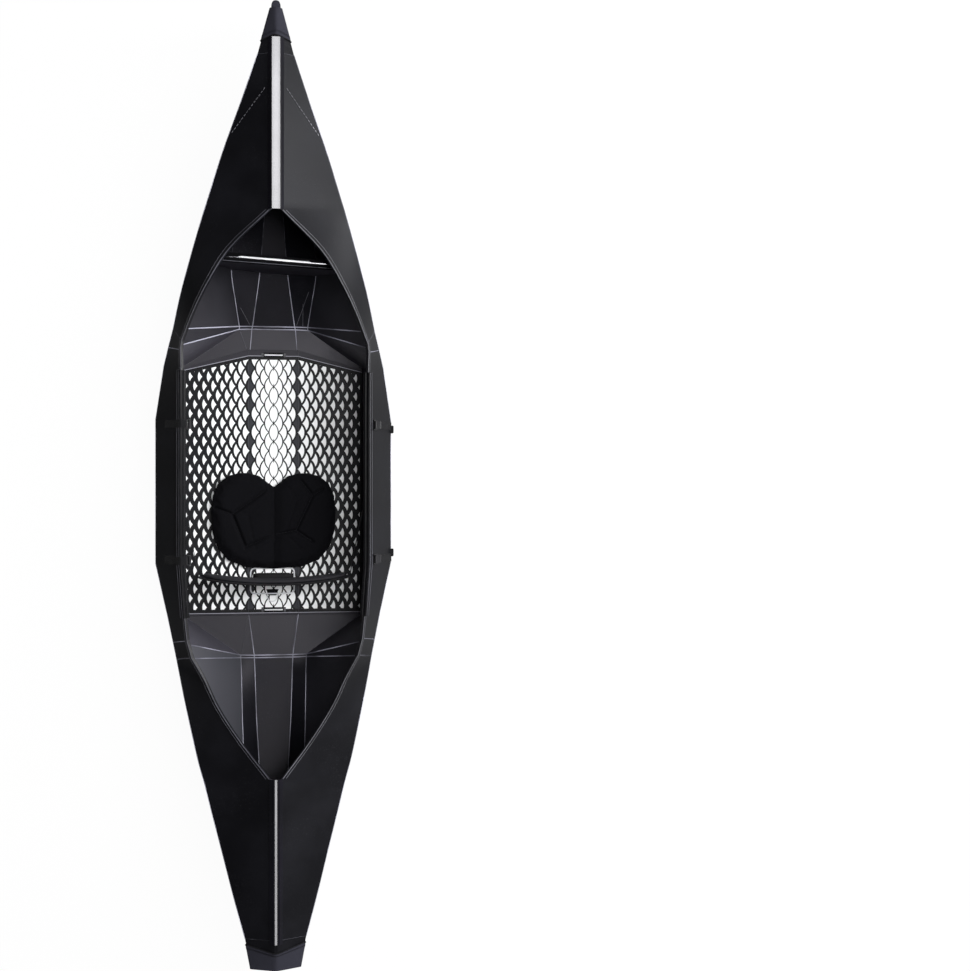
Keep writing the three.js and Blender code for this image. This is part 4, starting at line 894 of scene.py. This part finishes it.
def makeSleeve(end):
    look, node = sleeveLook[end], end + "_sleeve"
    tipY = look["tipY"]
    fold = wholeRing([hullLine(line, [look["station"]])[0] for line in (1, 2, 3, 4)])
    tip = wholeRing([[out * hullSize["halfBeam"], tipY, up * hullSize["ridgeHeight"]]
                     for out, up in look["tip"]])
    grow = sleeveLook["gap"] + sleeveLook["cloth"]
    fold, tip = (softened(swelled(ring, grow), sleeveLook["round"], 5) for ring in (fold, tip))
    way = np.sign(tipY)
    frontY = tipY - way * look["length"]
    frontRing = fold + (frontY - fold[0, 1]) / (tipY - fold[0, 1]) * (tip - fold)
    wide = np.abs(frontRing[:, 0]) / np.abs(frontRing[:, 0]).max()
    if end == "bow":
        front = frontY + look["scoop"] * (1 - wide ** 2)
    else:
        front = frontY - np.interp(wide, *zip(*look["back"]))
    share = np.linspace(0, 1, sleeveLook["rows"])[:, None]
    y = front[None, :] + share * (tipY - front[None, :])
    rings = fold[None] + ((y - fold[0, 1]) / (tipY - fold[0, 1]))[..., None] * (tip - fold)[None]
    along, up, out = sleeveLook["waves"]
    ripple = sleeveLook["ripple"] * np.sin(y * along + rings[..., 2] * up) * np.sin(rings[..., 0] * out)
    rings[..., 2] += ripple * (1 - share)
    middle = np.array([0, 0, tip[:, 2].mean()])
    closing, closedSize = [], np.array(sleeveLook["closedSize"])
    for step, reach in sleeveLook["closing"]:
        size = closedSize + (1 - closedSize) * np.sqrt(1 - step ** 2)
        closing.append((tip - middle) * size + [0, way * reach, middle[2]])
    rings = np.concatenate([rings, np.stack(closing)])
    count, points = rings.shape[:2]
    faces = np.concatenate([ringFaces(count, points), stripCap((count - 1) * points, points, False)])
    flat = rings.reshape(-1, 3)
    first, second, third = flat[faces[:, :3]].transpose(1, 0, 2)
    outward = flat[faces].mean(1) - flat.mean(0)
    if (np.cross(second - first, third - first) * outward).sum() < 0:
        faces = faces[:, ::-1]
    piece = addPiece(node + "_knit", rings, faces, "sleeve", node, 1.2)
    wall = piece.modifiers.new("cloth thickness", "SOLIDIFY")
    wall.thickness = sleeveLook["cloth"] * sleeveLook["wall"]
    wall.offset = -1
    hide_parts(node)
    closed = np.concatenate([rings, rings[:, :1]], 1)
    ups = (0, way, 0.01)
    tubes(node + "_hem", [tubeParts(closed[0], sleeveLook["hem"], ups=ups)], "webbing", node)
    lift = np.array([1, 0, 1]) * sleeveLook["seamLift"]
    paths = [closed[row] + unit(closed[row] - closed[row].mean(0)) * lift for row in sleeveLook["seamRows"]]
    tubes(node + "_stitching", [tubeParts(path, sleeveLook["seam"], 6, ups) for path in paths], "thread",
          node)


makeSleeve("bow")
makeSleeve("stern")


# Superellipse round a circle: the sign of a wave times its size to a power
def squared(wave, power):
    return np.sign(wave) * np.abs(wave) ** power


# Pull tab at the bow tip: a doubled web, round in plan, with a folded loop's thickness
tabLook = {"root": 1.4546, "tip": 1.475, "half": 0.0142, "thick": 0.0042, "z": 0.3201, "rows": 14,
           "sides": 20, "taper": 0.8, "taperPower": 2.4, "endWidth": 0.6, "endThickness": 0.7}


def makePullTab(look):
    share = np.linspace(0, 1, look["rows"])
    width = look["half"] * (1 - share ** look["taperPower"] * look["taper"]) ** 0.5
    width[-1] *= look["endWidth"]
    thin = look["endThickness"]
    thick = look["thick"] * (thin + (1 - thin) * np.sin(np.pi * share))
    angle = np.arange(look["sides"]) / look["sides"] * 2 * np.pi
    x = width[:, None] * squared(np.cos(angle), 0.5)
    y = look["root"] + share[:, None] * (look["tip"] - look["root"])
    z = look["z"] + thick[:, None] * squared(np.sin(angle), 0.5)
    piece = lofted("bow_tab_web", np.stack(np.broadcast_arrays(x, y, z), -1), "sleeve", "bow_pull_tab",
                   0.9)
    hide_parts("bow_pull_tab")


makePullTab(tabLook)
print("sleeves made")


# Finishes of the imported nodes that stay
def dress(node, material, bevelWidth=0.0):
    item = frame["nodes"][node]
    item.data.materials.clear()
    item.data.materials.append(materials[material])
    if bevelWidth:
        weld = item.modifiers.new("joined corners", "WELD")
        weld.merge_threshold = 0.00001
        bevel = item.modifiers.new("rounded edges", "BEVEL")
        bevel.width = bevelWidth
        bevel.segments = 2
        bevel.angle_limit = 0.6


def dressFrame():
    for node in ("bow_end", "stern_end"):
        dress(node, "bareSheet")
    for node in ("middle", "leaf_starboard", "leaf_port"):
        dress("floor_board_" + node, "board", 0.0006)
    dress("foot_brace", "brace", 0.0012)
    dress("backrest_bracket", "block", 0.0006)
    dress("backrest_hinge_pin", "steel", 0.0004)
    for place in ("front", "rear"):
        dress(f"floor_board_tab_{place}", "webbing", 0.0006)
        for _, name in sides:
            dress(f"strap_{place}_{name}", "webbing", 0.0004)
            dress(f"buckle_frame_{place}_{name}", "buckle", 0.0005)
            dress(f"buckle_lever_{place}_{name}", "buckle", 0.0005)


dressFrame()
print("packed nodes dressed")


# Seat cushion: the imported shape, remeshed, puffed up by cloth pressure, with sewn channels
seatLook = {"voxel": 0.0045, "pressure": 4.0, "quality": 5, "frames": 20, "cap": 0.008, "shrink": 0.985,
            "squash": 0.94, "channelDepth": 0.0090, "channelHalf": 0.0050, "halfWidth": 0.2025,
            "halfLength": 0.158, "centreY": -0.111, "valleyDepth": 0.010, "valleyHalf": 0.020,
            "dentFrom": 0.012, "dentFull": 0.010, "bins": 180, "stitch": {
                "length": 0.0062, "gap": 0.0034, "fromZ": 0.2, "lift": 0.0004, "radius": 0.0007}}
# the starboard half of its outline and its seams, as shares of the half width and the half length
seatOutline = [[0, 0.70], [0.10, 0.80], [0.22, 0.92], [0.40, 0.985], [0.56, 0.99], [0.74, 0.92],
               [0.89, 0.76], [0.975, 0.5], [1, 0.15], [0.985, -0.2], [0.90, -0.56], [0.72, -0.83],
               [0.45, -0.97], [0, -1]]
seatSeams = [
    [[-0.918, 0.265], [-0.652, 0.128]], [[-0.652, 0.128], [-0.122, 0.612]],
    [[-0.652, 0.128], [-0.449, -0.536]], [[-0.449, -0.536], [0.016, -0.286]],
    [[0.016, -0.286], [0.347, -0.204]], [[0.347, -0.204], [0.612, 0.51]],
    [[0.612, 0.51], [0.424, 0.816]], [[0.612, 0.51], [0.775, 0.638]], [[0.347, -0.204], [0.612, -0.429]],
]


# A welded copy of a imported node's mesh, as a new object
def copyOfNode(node, name, material):
    mesh = frame["nodes"][node].data.copy()
    mesh.name = name
    shape = bmesh.new()
    shape.from_mesh(mesh)
    bmesh.ops.remove_doubles(shape, verts=shape.verts, dist=1e-5)
    bmesh.ops.recalc_face_normals(shape, faces=shape.faces)
    shape.to_mesh(mesh)
    shape.free()
    mesh.materials.clear()
    mesh.materials.append(materials[material])
    return addObject(name, mesh)


def applyModifiers(piece):
    graph = bpy.context.evaluated_depsgraph_get()
    mesh = bpy.data.meshes.new_from_object(piece.evaluated_get(graph))
    piece.modifiers.clear()
    piece.data = mesh


def places(piece):
    values = np.zeros(len(piece.data.vertices) * 3, np.float32)
    piece.data.vertices.foreach_get("co", values)
    return values.reshape(-1, 3).astype(float)


def setPlaces(piece, values):
    piece.data.vertices.foreach_set("co", values.astype(np.float32).reshape(-1))
    piece.data.update()


# Cloth under pressure, without gravity; no point moves further than the cap or below the floor
def puffed(piece, look, floorZ):
    start = places(piece)
    cloth = piece.modifiers.new("stuffing", "CLOTH")
    cloth.settings.use_pressure = True
    cloth.settings.uniform_pressure_force = look["pressure"]
    cloth.settings.effector_weights.gravity = 0
    cloth.settings.quality = look["quality"]
    for number in range(1, look["frames"] + 1):
        scene.frame_set(number)
    applyModifiers(piece)
    scene.frame_set(1)
    moved = places(piece) - start
    distance = np.linalg.norm(moved, axis=1, keepdims=True)
    moved *= np.minimum(1, look["cap"] / np.maximum(distance, 1e-9))
    swollen = start + moved
    swollen[:, 2] = np.maximum(swollen[:, 2], floorZ)
    setPlaces(piece, swollen)
    smooth = piece.modifiers.new("finer mesh", "SUBSURF")
    smooth.levels = 1
    smooth.render_levels = 1
    applyModifiers(piece)


def seatSegments():
    scale = np.array([seatLook["halfWidth"], seatLook["halfLength"]])
    return np.array(seatSeams) * scale + [0, seatLook["centreY"]]


# Distance of places to a segment in plan
def distanceTo(flat, start, end):
    way = end - start
    share = np.clip(((flat - start) @ way) / (way @ way), 0, 1)
    return np.linalg.norm(flat - (start + share[:, None] * way), axis=1)


# Reach of an outline from the seat's middle by angle, read at even angles and closed round
def reachByAngle(flat, bins):
    angle = np.arctan2(flat[:, 1], flat[:, 0])
    order = np.argsort(angle)
    wanted = np.linspace(-np.pi, np.pi, bins + 1)
    return wanted, np.interp(wanted, angle[order], np.linalg.norm(flat, axis=1)[order], period=2 * np.pi)


# Moves places in plan so that the seat's outline becomes the drawn one: the move grows with the square of
# the share of the way out
def reshapeSeat(now):
    bins, turn = seatLook["bins"], 2 * np.pi
    middle = np.array([0, seatLook["centreY"]])
    half = np.array(seatOutline) * [seatLook["halfWidth"], seatLook["halfLength"]] * seatLook["shrink"]
    whole = np.concatenate([half, half[-2:0:-1] * [-1, 1], half[:1]])
    wanted, drawn = reachByAngle(pathPlaces(whole, 12)[:-1], bins)
    flat = now[:, :2] - middle
    angle = np.arctan2(flat[:, 1], flat[:, 0])
    reach = np.linalg.norm(flat, axis=1)
    widest = np.zeros(bins)
    np.maximum.at(widest, ((angle + np.pi) / turn * bins).astype(int) % bins, reach)
    middles = (np.arange(bins) + 0.5) / bins * turn - np.pi
    widestHere = np.interp(angle, middles, widest, period=turn)
    ratio = np.interp(angle, wanted, drawn) / widestHere
    out = np.clip(reach / widestHere, 0, 1)
    now[:, :2] = middle + flat * (1 + (ratio - 1) * out ** 2)[:, None]
    return now


def makeSeat():
    node, shrink = "seat_cushion", seatLook["shrink"]
    low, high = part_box(node)
    piece = copyOfNode(node, "seat_cushion_foam", "cushion")
    centre = np.array([(low.x + high.x) / 2, (low.y + high.y) / 2, low.z])
    setPlaces(piece, (places(piece) - centre) * [shrink, shrink, seatLook["squash"]] + centre)
    remesh = piece.modifiers.new("even mesh", "REMESH")
    remesh.mode = "VOXEL"
    remesh.voxel_size = seatLook["voxel"]
    applyModifiers(piece)
    setPlaces(piece, reshapeSeat(places(piece)))
    puffed(piece, seatLook, low.z)
    now = reshapeSeat(places(piece))
    depth = np.zeros(len(now))
    valley = np.exp(-(now[:, 0] / seatLook["valleyHalf"]) ** 2) * seatLook["valleyDepth"]
    for start, end in seatSegments():
        distance = distanceTo(now[:, :2], start, end)
        depth = np.maximum(depth, np.exp(-(distance / seatLook["channelHalf"]) ** 2))
    upper = np.clip((now[:, 2] - (low.z + seatLook["dentFrom"])) / seatLook["dentFull"], 0, 1)
    now[:, 2] -= np.maximum(depth * seatLook["channelDepth"], valley) * upper
    setPlaces(piece, now)
    piece.data.polygons.foreach_set("use_smooth", [True] * len(piece.data.polygons))
    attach(piece, bodyOf[node])
    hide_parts(node)
    return piece


seatPiece = makeSeat()


# One ray target made of the final meshes of several pieces
def surfaceTree(*pieces):
    points, polygons = [], []
    for piece in pieces:
        mesh = piece.data
        corners = np.zeros(len(mesh.loops), np.int32)
        starts = np.zeros(len(mesh.polygons), np.int32)
        mesh.loops.foreach_get("vertex_index", corners)
        mesh.polygons.foreach_get("loop_start", starts)
        polygons += [face.tolist() for face in np.split(corners + len(points), starts[1:])]
        points += places(piece).tolist()
    return BVHTree.FromPolygons(points, polygons)


# Plan places carried down onto a surface, standing off it by the lift
def dropped(tree, flat, fromZ, lift):
    hits = [tree.ray_cast(Vector((x, y, fromZ)), Vector((0, 0, -1))) for x, y in flat]
    return np.array([[*(hit[0] + hit[1] * lift)] for hit in hits if hit[0] is not None])


# Stitches of a length with gaps between them, from one plan place to another, laid on a surface
def stitches(tree, start, end, length, gap, fromZ, lift, radius):
    whole = np.linalg.norm(end - start)
    rows = []
    for first in np.arange(gap, whole - length, length + gap):
        share = np.linspace(first, first + length, 4)[:, None] / whole
        path = dropped(tree, start + share * (end - start), fromZ, lift)
        if len(path) == 4:
            rows.append(tubeParts(path, radius, 6))
    return rows


seatTree = surfaceTree(seatPiece)
seatRows = [row for start, end in seatSegments()
            for row in stitches(seatTree, start, end, **seatLook["stitch"])]
tubes("seat_stitching", seatRows, "thread", "seat_cushion")
print("seat made:", len(seatPiece.data.vertices), "vertices")


# Back rest: a curved padded band that wraps forward at its sides, with a piping along its top
backLook = {"width": 0.473, "y": -0.304, "wrap": 0.021, "bottom": 0.078, "height": 0.158, "across": 61,
            "around": 40, "topFall": 0.42, "footRise": 0.12, "pipingHalf": 0.225, "piping": 0.0024,
            "shell": {"share": 1.0, "low": 0.0, "high": 1.0, "back": -0.006, "front": 0.0},
            "foam": {"share": 0.93, "low": 0.07, "high": 0.93, "back": 0.0003, "front": 0.0125}}


# Places across, and there the curve of the back rest and the heights of a low and a high edge
def backCurves(x, low=0.0, high=1.0):
    edge = np.abs(x) / (backLook["width"] / 2)
    top = backLook["bottom"] + (high - backLook["topFall"] * edge ** 6) * backLook["height"]
    foot = backLook["bottom"] + (low + backLook["footRise"] * edge ** 6) * backLook["height"]
    return edge, backLook["y"] + backLook["wrap"] * edge ** 2, foot, top


# A superellipse section between the two edges, carried along the curve of the back rest
def backBand(name, node, share, low, high, back, front):
    x = np.linspace(-share, share, backLook["across"]) * backLook["width"] / 2
    edge, curve, foot, top = backCurves(x, low, high)
    angle = np.arange(backLook["around"]) / backLook["around"] * 2 * np.pi
    taper = np.clip((1.02 * share - edge) / (0.05 * share), 0.3, 1) ** 0.5
    y = (curve + (front + back) / 2)[:, None] + ((front - back) / 2 * taper)[:, None] * squared(
        np.cos(angle), 0.55)
    z = ((top + foot) / 2)[:, None] + ((top - foot) / 2)[:, None] * squared(np.sin(angle), 0.45)
    rings = np.stack(np.broadcast_arrays(x[:, None], y, z), -1)
    piece = lofted(name, rings, "backCloth", node, 0.9)
    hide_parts(node)
    return piece


def makeBackRest():
    backBand("backrest_shell", "backrest_panel", **backLook["shell"])
    backBand("backrest_foam", "backrest_pad", **backLook["foam"])
    x = np.linspace(-backLook["pipingHalf"], backLook["pipingHalf"], 70)
    _, curve, _, top = backCurves(x)
    path = np.stack([x, curve - 0.003, top], 1)
    tubes("backrest_piping", [tubeParts(path, backLook["piping"], ups=(0, 0.2, 1))], "webbing", "backrest")


makeBackRest()
print("back rest made")


# Side straps of the back rest: flat webs that sag a little, bent between the back rest and the hull
sideStrapLook = {"half": 0.010, "thick": 0.0016, "sag": 0.006, "steps": 28, "bendShare": 0.6}


def makeSideStraps(look):
    half, thick = look["half"], look["thick"]
    share = np.linspace(0, 1, look["steps"])[:, None]
    corners = softened([[0, -half], [thick, -half], [thick, half], [0, half]], 0.0006, 3)
    section = np.stack([corners[:, 0], np.zeros(len(corners)), corners[:, 1]], 1)
    for side, name in sides:
        node = f"backrest_strap_{name}"
        low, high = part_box(node)
        inner, outer = sorted((abs(low.x), abs(high.x)))
        start = np.array([inner, low.y, low.z + half])
        end = np.array([outer - thick, high.y, high.z - half])
        path = start + share * (end - start)
        path[:, 2] -= look["sag"] * np.sin(np.pi * share[:, 0])
        flip = np.array([side, 1, 1])
        piece = lofted(f"side_strap_{name}", (path[:, None] + section[None]) * flip, "webbing", None,
                       0.6)
        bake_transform(piece)
        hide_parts(node)


makeSideStraps(sideStrapLook)
print("side straps made")


# Small pieces: extra creases and stitched deck creases, in plan; the lines on the foot brace, a glossy bead
# and two pale lines that are painted highlights, each from and to a place, of a radius, a number of sides, a
# flatness and a material; the wire frame and loop behind the seat; light bars on the board's tabs; and
# webbing loops on the starboard fold, each at a place along, of a half length
detailLook = {
    "creases": [
        [(0.094, 0.590), (0.094, 0.516)], [(-0.106, 0.574), (-0.077, 0.522)],
        [(0.112, 0.628), (0.074, 0.522)], [(-0.106, 0.498), (-0.087, 0.444)],
        [(-0.083, -0.420), (-0.101, -0.540)], [(0.075, -0.420), (0.060, -0.540)],
    ],
    "creaseRadius": 0.0008, "creaseFromZ": 0.19, "creaseLift": 0.0003,
    "cover": (-0.002, -0.2935, 0.0605), "coverSize": (0.112, 0.030, 0.006),
    "stitchFrom": (0.030, 1.214), "stitchTo": (0.136, 1.076),
    "stitch": {"length": 0.0075, "gap": 0.0045, "fromZ": 0.5, "lift": 0.0005, "radius": 0.0008},
    "brace": {
        "bead": ((-0.172, 0.712, 0.2098), (0.186, 0.6925, 0.2098), 0.0052, 20, 0.55, "rail"),
        # painted highlights: a pale tube along the middle of the flange and a thin light line along its lower
        # edge
        "paintedHighlight": ((-0.112, 0.7105, 0.2122), (0.112, 0.6975, 0.2122), 0.0021, 10, 0.5, "loop"),
        "line": ((-0.200, 0.7005, 0.2118), (0.215, 0.6775, 0.2118), 0.0012, 10, 1.0, "bead"),
    },
    "endShare": 0.03, "endRadius": 0.15,
    "frame": (-0.074, 0.066, -0.348, -0.266), "frameRound": 0.016, "frameRadius": 0.0024, "frameZ": 0.0130,
    "loopPlace": (-0.004, -0.351), "loopReach": 0.017, "loopStretch": 1.35, "loopRadius": 0.0015,
    "webHalf": (0.013, 0.020), "webLength": 0.020, "webThick": 0.0014, "webZ": 0.0104, "webStart": 0.003,
    "bar": (0.058, 0.0042, 0.0012), "block": (0.007, 0.013, 0.0020), "blockOut": 0.0355,
    "loops": [(0.180, 0.0125), (-0.212, 0.0125)], "loopOut": 0.002, "loopSize": (0.014, 0.006),
}


def makeCreases(look):
    names = ["floor_middle", "keel_bow", "keel_stern"]
    names += [f"{part}_{end}_{side}" for part in ("floor", "side") for end in ("bow", "stern")
              for side in ("port", "starboard")]
    tree = surfaceTree(*(bpy.data.objects[name + "_sheet"] for name in names))
    paths = [dropped(tree, pathPlaces(corners, 12), look["creaseFromZ"], look["creaseLift"])
             for corners in look["creases"]]
    rows = [tubeParts(path, look["creaseRadius"], 6, flat=0.6) for path in paths if len(path) > 3]
    tubes("floor_creases", rows, "faintCrease", "hull")
    for side, name in sides:
        node = f"bow_deck_{name}"
        tree = surfaceTree(bpy.data.objects[node + "_sheet"])
        start, end = np.array([look["stitchFrom"], look["stitchTo"]]) * [side, 1]
        rows = stitches(tree, start, end, **look["stitch"])
        tubes(f"deck_stitching_{name}", rows, "dashes", node)


def makeBraceEdge(look):
    share = np.linspace(0, 1, 24)[:, None]
    ends = np.clip(np.minimum(share, 1 - share)[:, 0] / look["endShare"], look["endRadius"], 1) ** 0.5
    for name, (start, end, radius, count, flat, material) in look["brace"].items():
        path = np.array(start) + share * (np.array(end) - np.array(start))
        tubes("foot_brace_" + name, [tubeParts(path, radius * ends, count, flat=flat)], material,
              "foot_brace")


# A wire frame with rounded corners round the bracket, and a half ring with a short web behind it
def makeFrameAndLoop(look):
    low, high, back, front = look["frame"]
    corners = softened([[low, back], [high, back], [high, front], [low, front]], look["frameRound"], 6)
    flat = np.concatenate([corners, corners[:1]])
    angle = np.linspace(0, np.pi, 18)
    x, y = look["loopPlace"]
    ring = np.stack([x + look["loopReach"] * np.cos(angle),
                     y - look["loopReach"] * look["loopStretch"] * np.sin(angle)], 1)
    rows = [tubeParts(np.insert(path, 2, look["frameZ"], 1), radius)
            for path, radius in ((flat, look["frameRadius"]), (ring, look["loopRadius"]))]
    tubes("bracket_frame", rows, "loop", "hull")
    narrow, wide = look["webHalf"]
    share = np.linspace(0, 1, 8)[:, None]
    across = x + np.array([-1, 1, 1, -1]) * (narrow + share * (wide - narrow))
    height = look["webZ"] + np.array([0, 0, look["webThick"], look["webThick"]])
    along = y - look["webStart"] + share * look["webLength"]
    rings = np.stack(np.broadcast_arrays(across, along, height), -1)
    lofted("bracket_web", rings, "webbing", "hull", 0.6)


def slab(name, centre, size, material, owner):
    outline = softened(np.array([[-1, -1], [1, -1], [1, 1], [-1, 1]]) * np.array(size[:2]) / 2,
                       min(size[:2]) * 0.3, 4)
    layers = ((0.94, -0.5), (1, -0.35), (1, 0.35), (0.94, 0.5))
    rings = np.stack([np.insert(outline * shrink, 2, height * size[2], 1) for shrink, height in layers])
    lofted(name, rings + np.array(centre), material, owner, 0.6)


def makeSmallParts(look):
    for place in ("front", "rear"):
        node = f"floor_board_tab_{place}"
        low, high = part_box(node)
        x, y = (low.x + high.x) / 2, (low.y + high.y) / 2
        slab(f"tab_bar_{place}", (x, y, high.z + 0.0004), look["bar"], "loop", node)
        for side, name in sides:
            slab(f"tab_block_{place}_{name}", (x + side * look["blockOut"], y, high.z + 0.0006),
                 look["block"], "bead", node)
    wide, thick = look["loopSize"]
    for number, (y, half) in enumerate(look["loops"], 1):
        table = hullTables[3]
        sheer = hullLine(3, [np.interp(y, table[:, 1], np.arange(len(table)))])[0]
        slab(f"fold_loop_{number}", (sheer[0] + look["loopOut"], y, sheer[2]), (wide, half * 2, thick),
             "webbing", "hull")


slab("bracket_cover", detailLook["cover"], detailLook["coverSize"], "block", "backrest_bracket")
makeCreases(detailLook)
makeBraceEdge(detailLook)
makeFrameAndLoop(detailLook)
makeSmallParts(detailLook)
print("small pieces made")


# Stage: a pale floor that stays white to the camera and keeps the boat's soft shadow
stageLook = {"half": 14, "below": 0.0012, "shade": 0.04, "reach": 0.9, "portGlow": 0.05,
             "starboardGlow": 0.75, "paint": (0.82, 0.82, 0.82, 1)}


def makeStage(look):
    half, z = look["half"], -look["below"]
    mesh = bpy.data.meshes.new("studioFloor")
    mesh.from_pydata([(-half, -half, z), (half, -half, z), (half, half, z), (-half, half, z)], [],
                     [(0, 1, 2, 3)])
    material = bpy.data.materials.new("studioFloor")
    material.use_nodes = True
    tree = material.node_tree
    tree.nodes.clear()
    path = addNode(tree, "ShaderNodeLightPath")
    across = parted(addNode(tree, "ShaderNodeTexCoord")["Object"])[0]
    mirrored = ranged(across, -look["reach"], look["reach"], look["portGlow"], look["starboardGlow"], False)
    direct = path["Is Camera Ray"].by("MAXIMUM", path["Is Transmission Ray"])
    seen = direct.by("MAXIMUM", path["Is Glossy Ray"])
    strength = direct.by("MAXIMUM", path["Is Glossy Ray"] * mirrored)
    glow = addNode(tree, "ShaderNodeEmission", {"Color": (1, 1, 1, 1), "Strength": strength})[0]
    paint = addNode(tree, "ShaderNodeBsdfDiffuse", {"Color": look["paint"]})[0]
    shared = addNode(tree, "ShaderNodeMixShader", [seen * (1 - look["shade"]), paint, glow])[0]
    addNode(tree, "ShaderNodeOutputMaterial", {"Surface": shared})
    mesh.materials.append(material)
    addObject("studioFloor", mesh)


makeStage(stageLook)
print("stage made")

print("all pieces made")
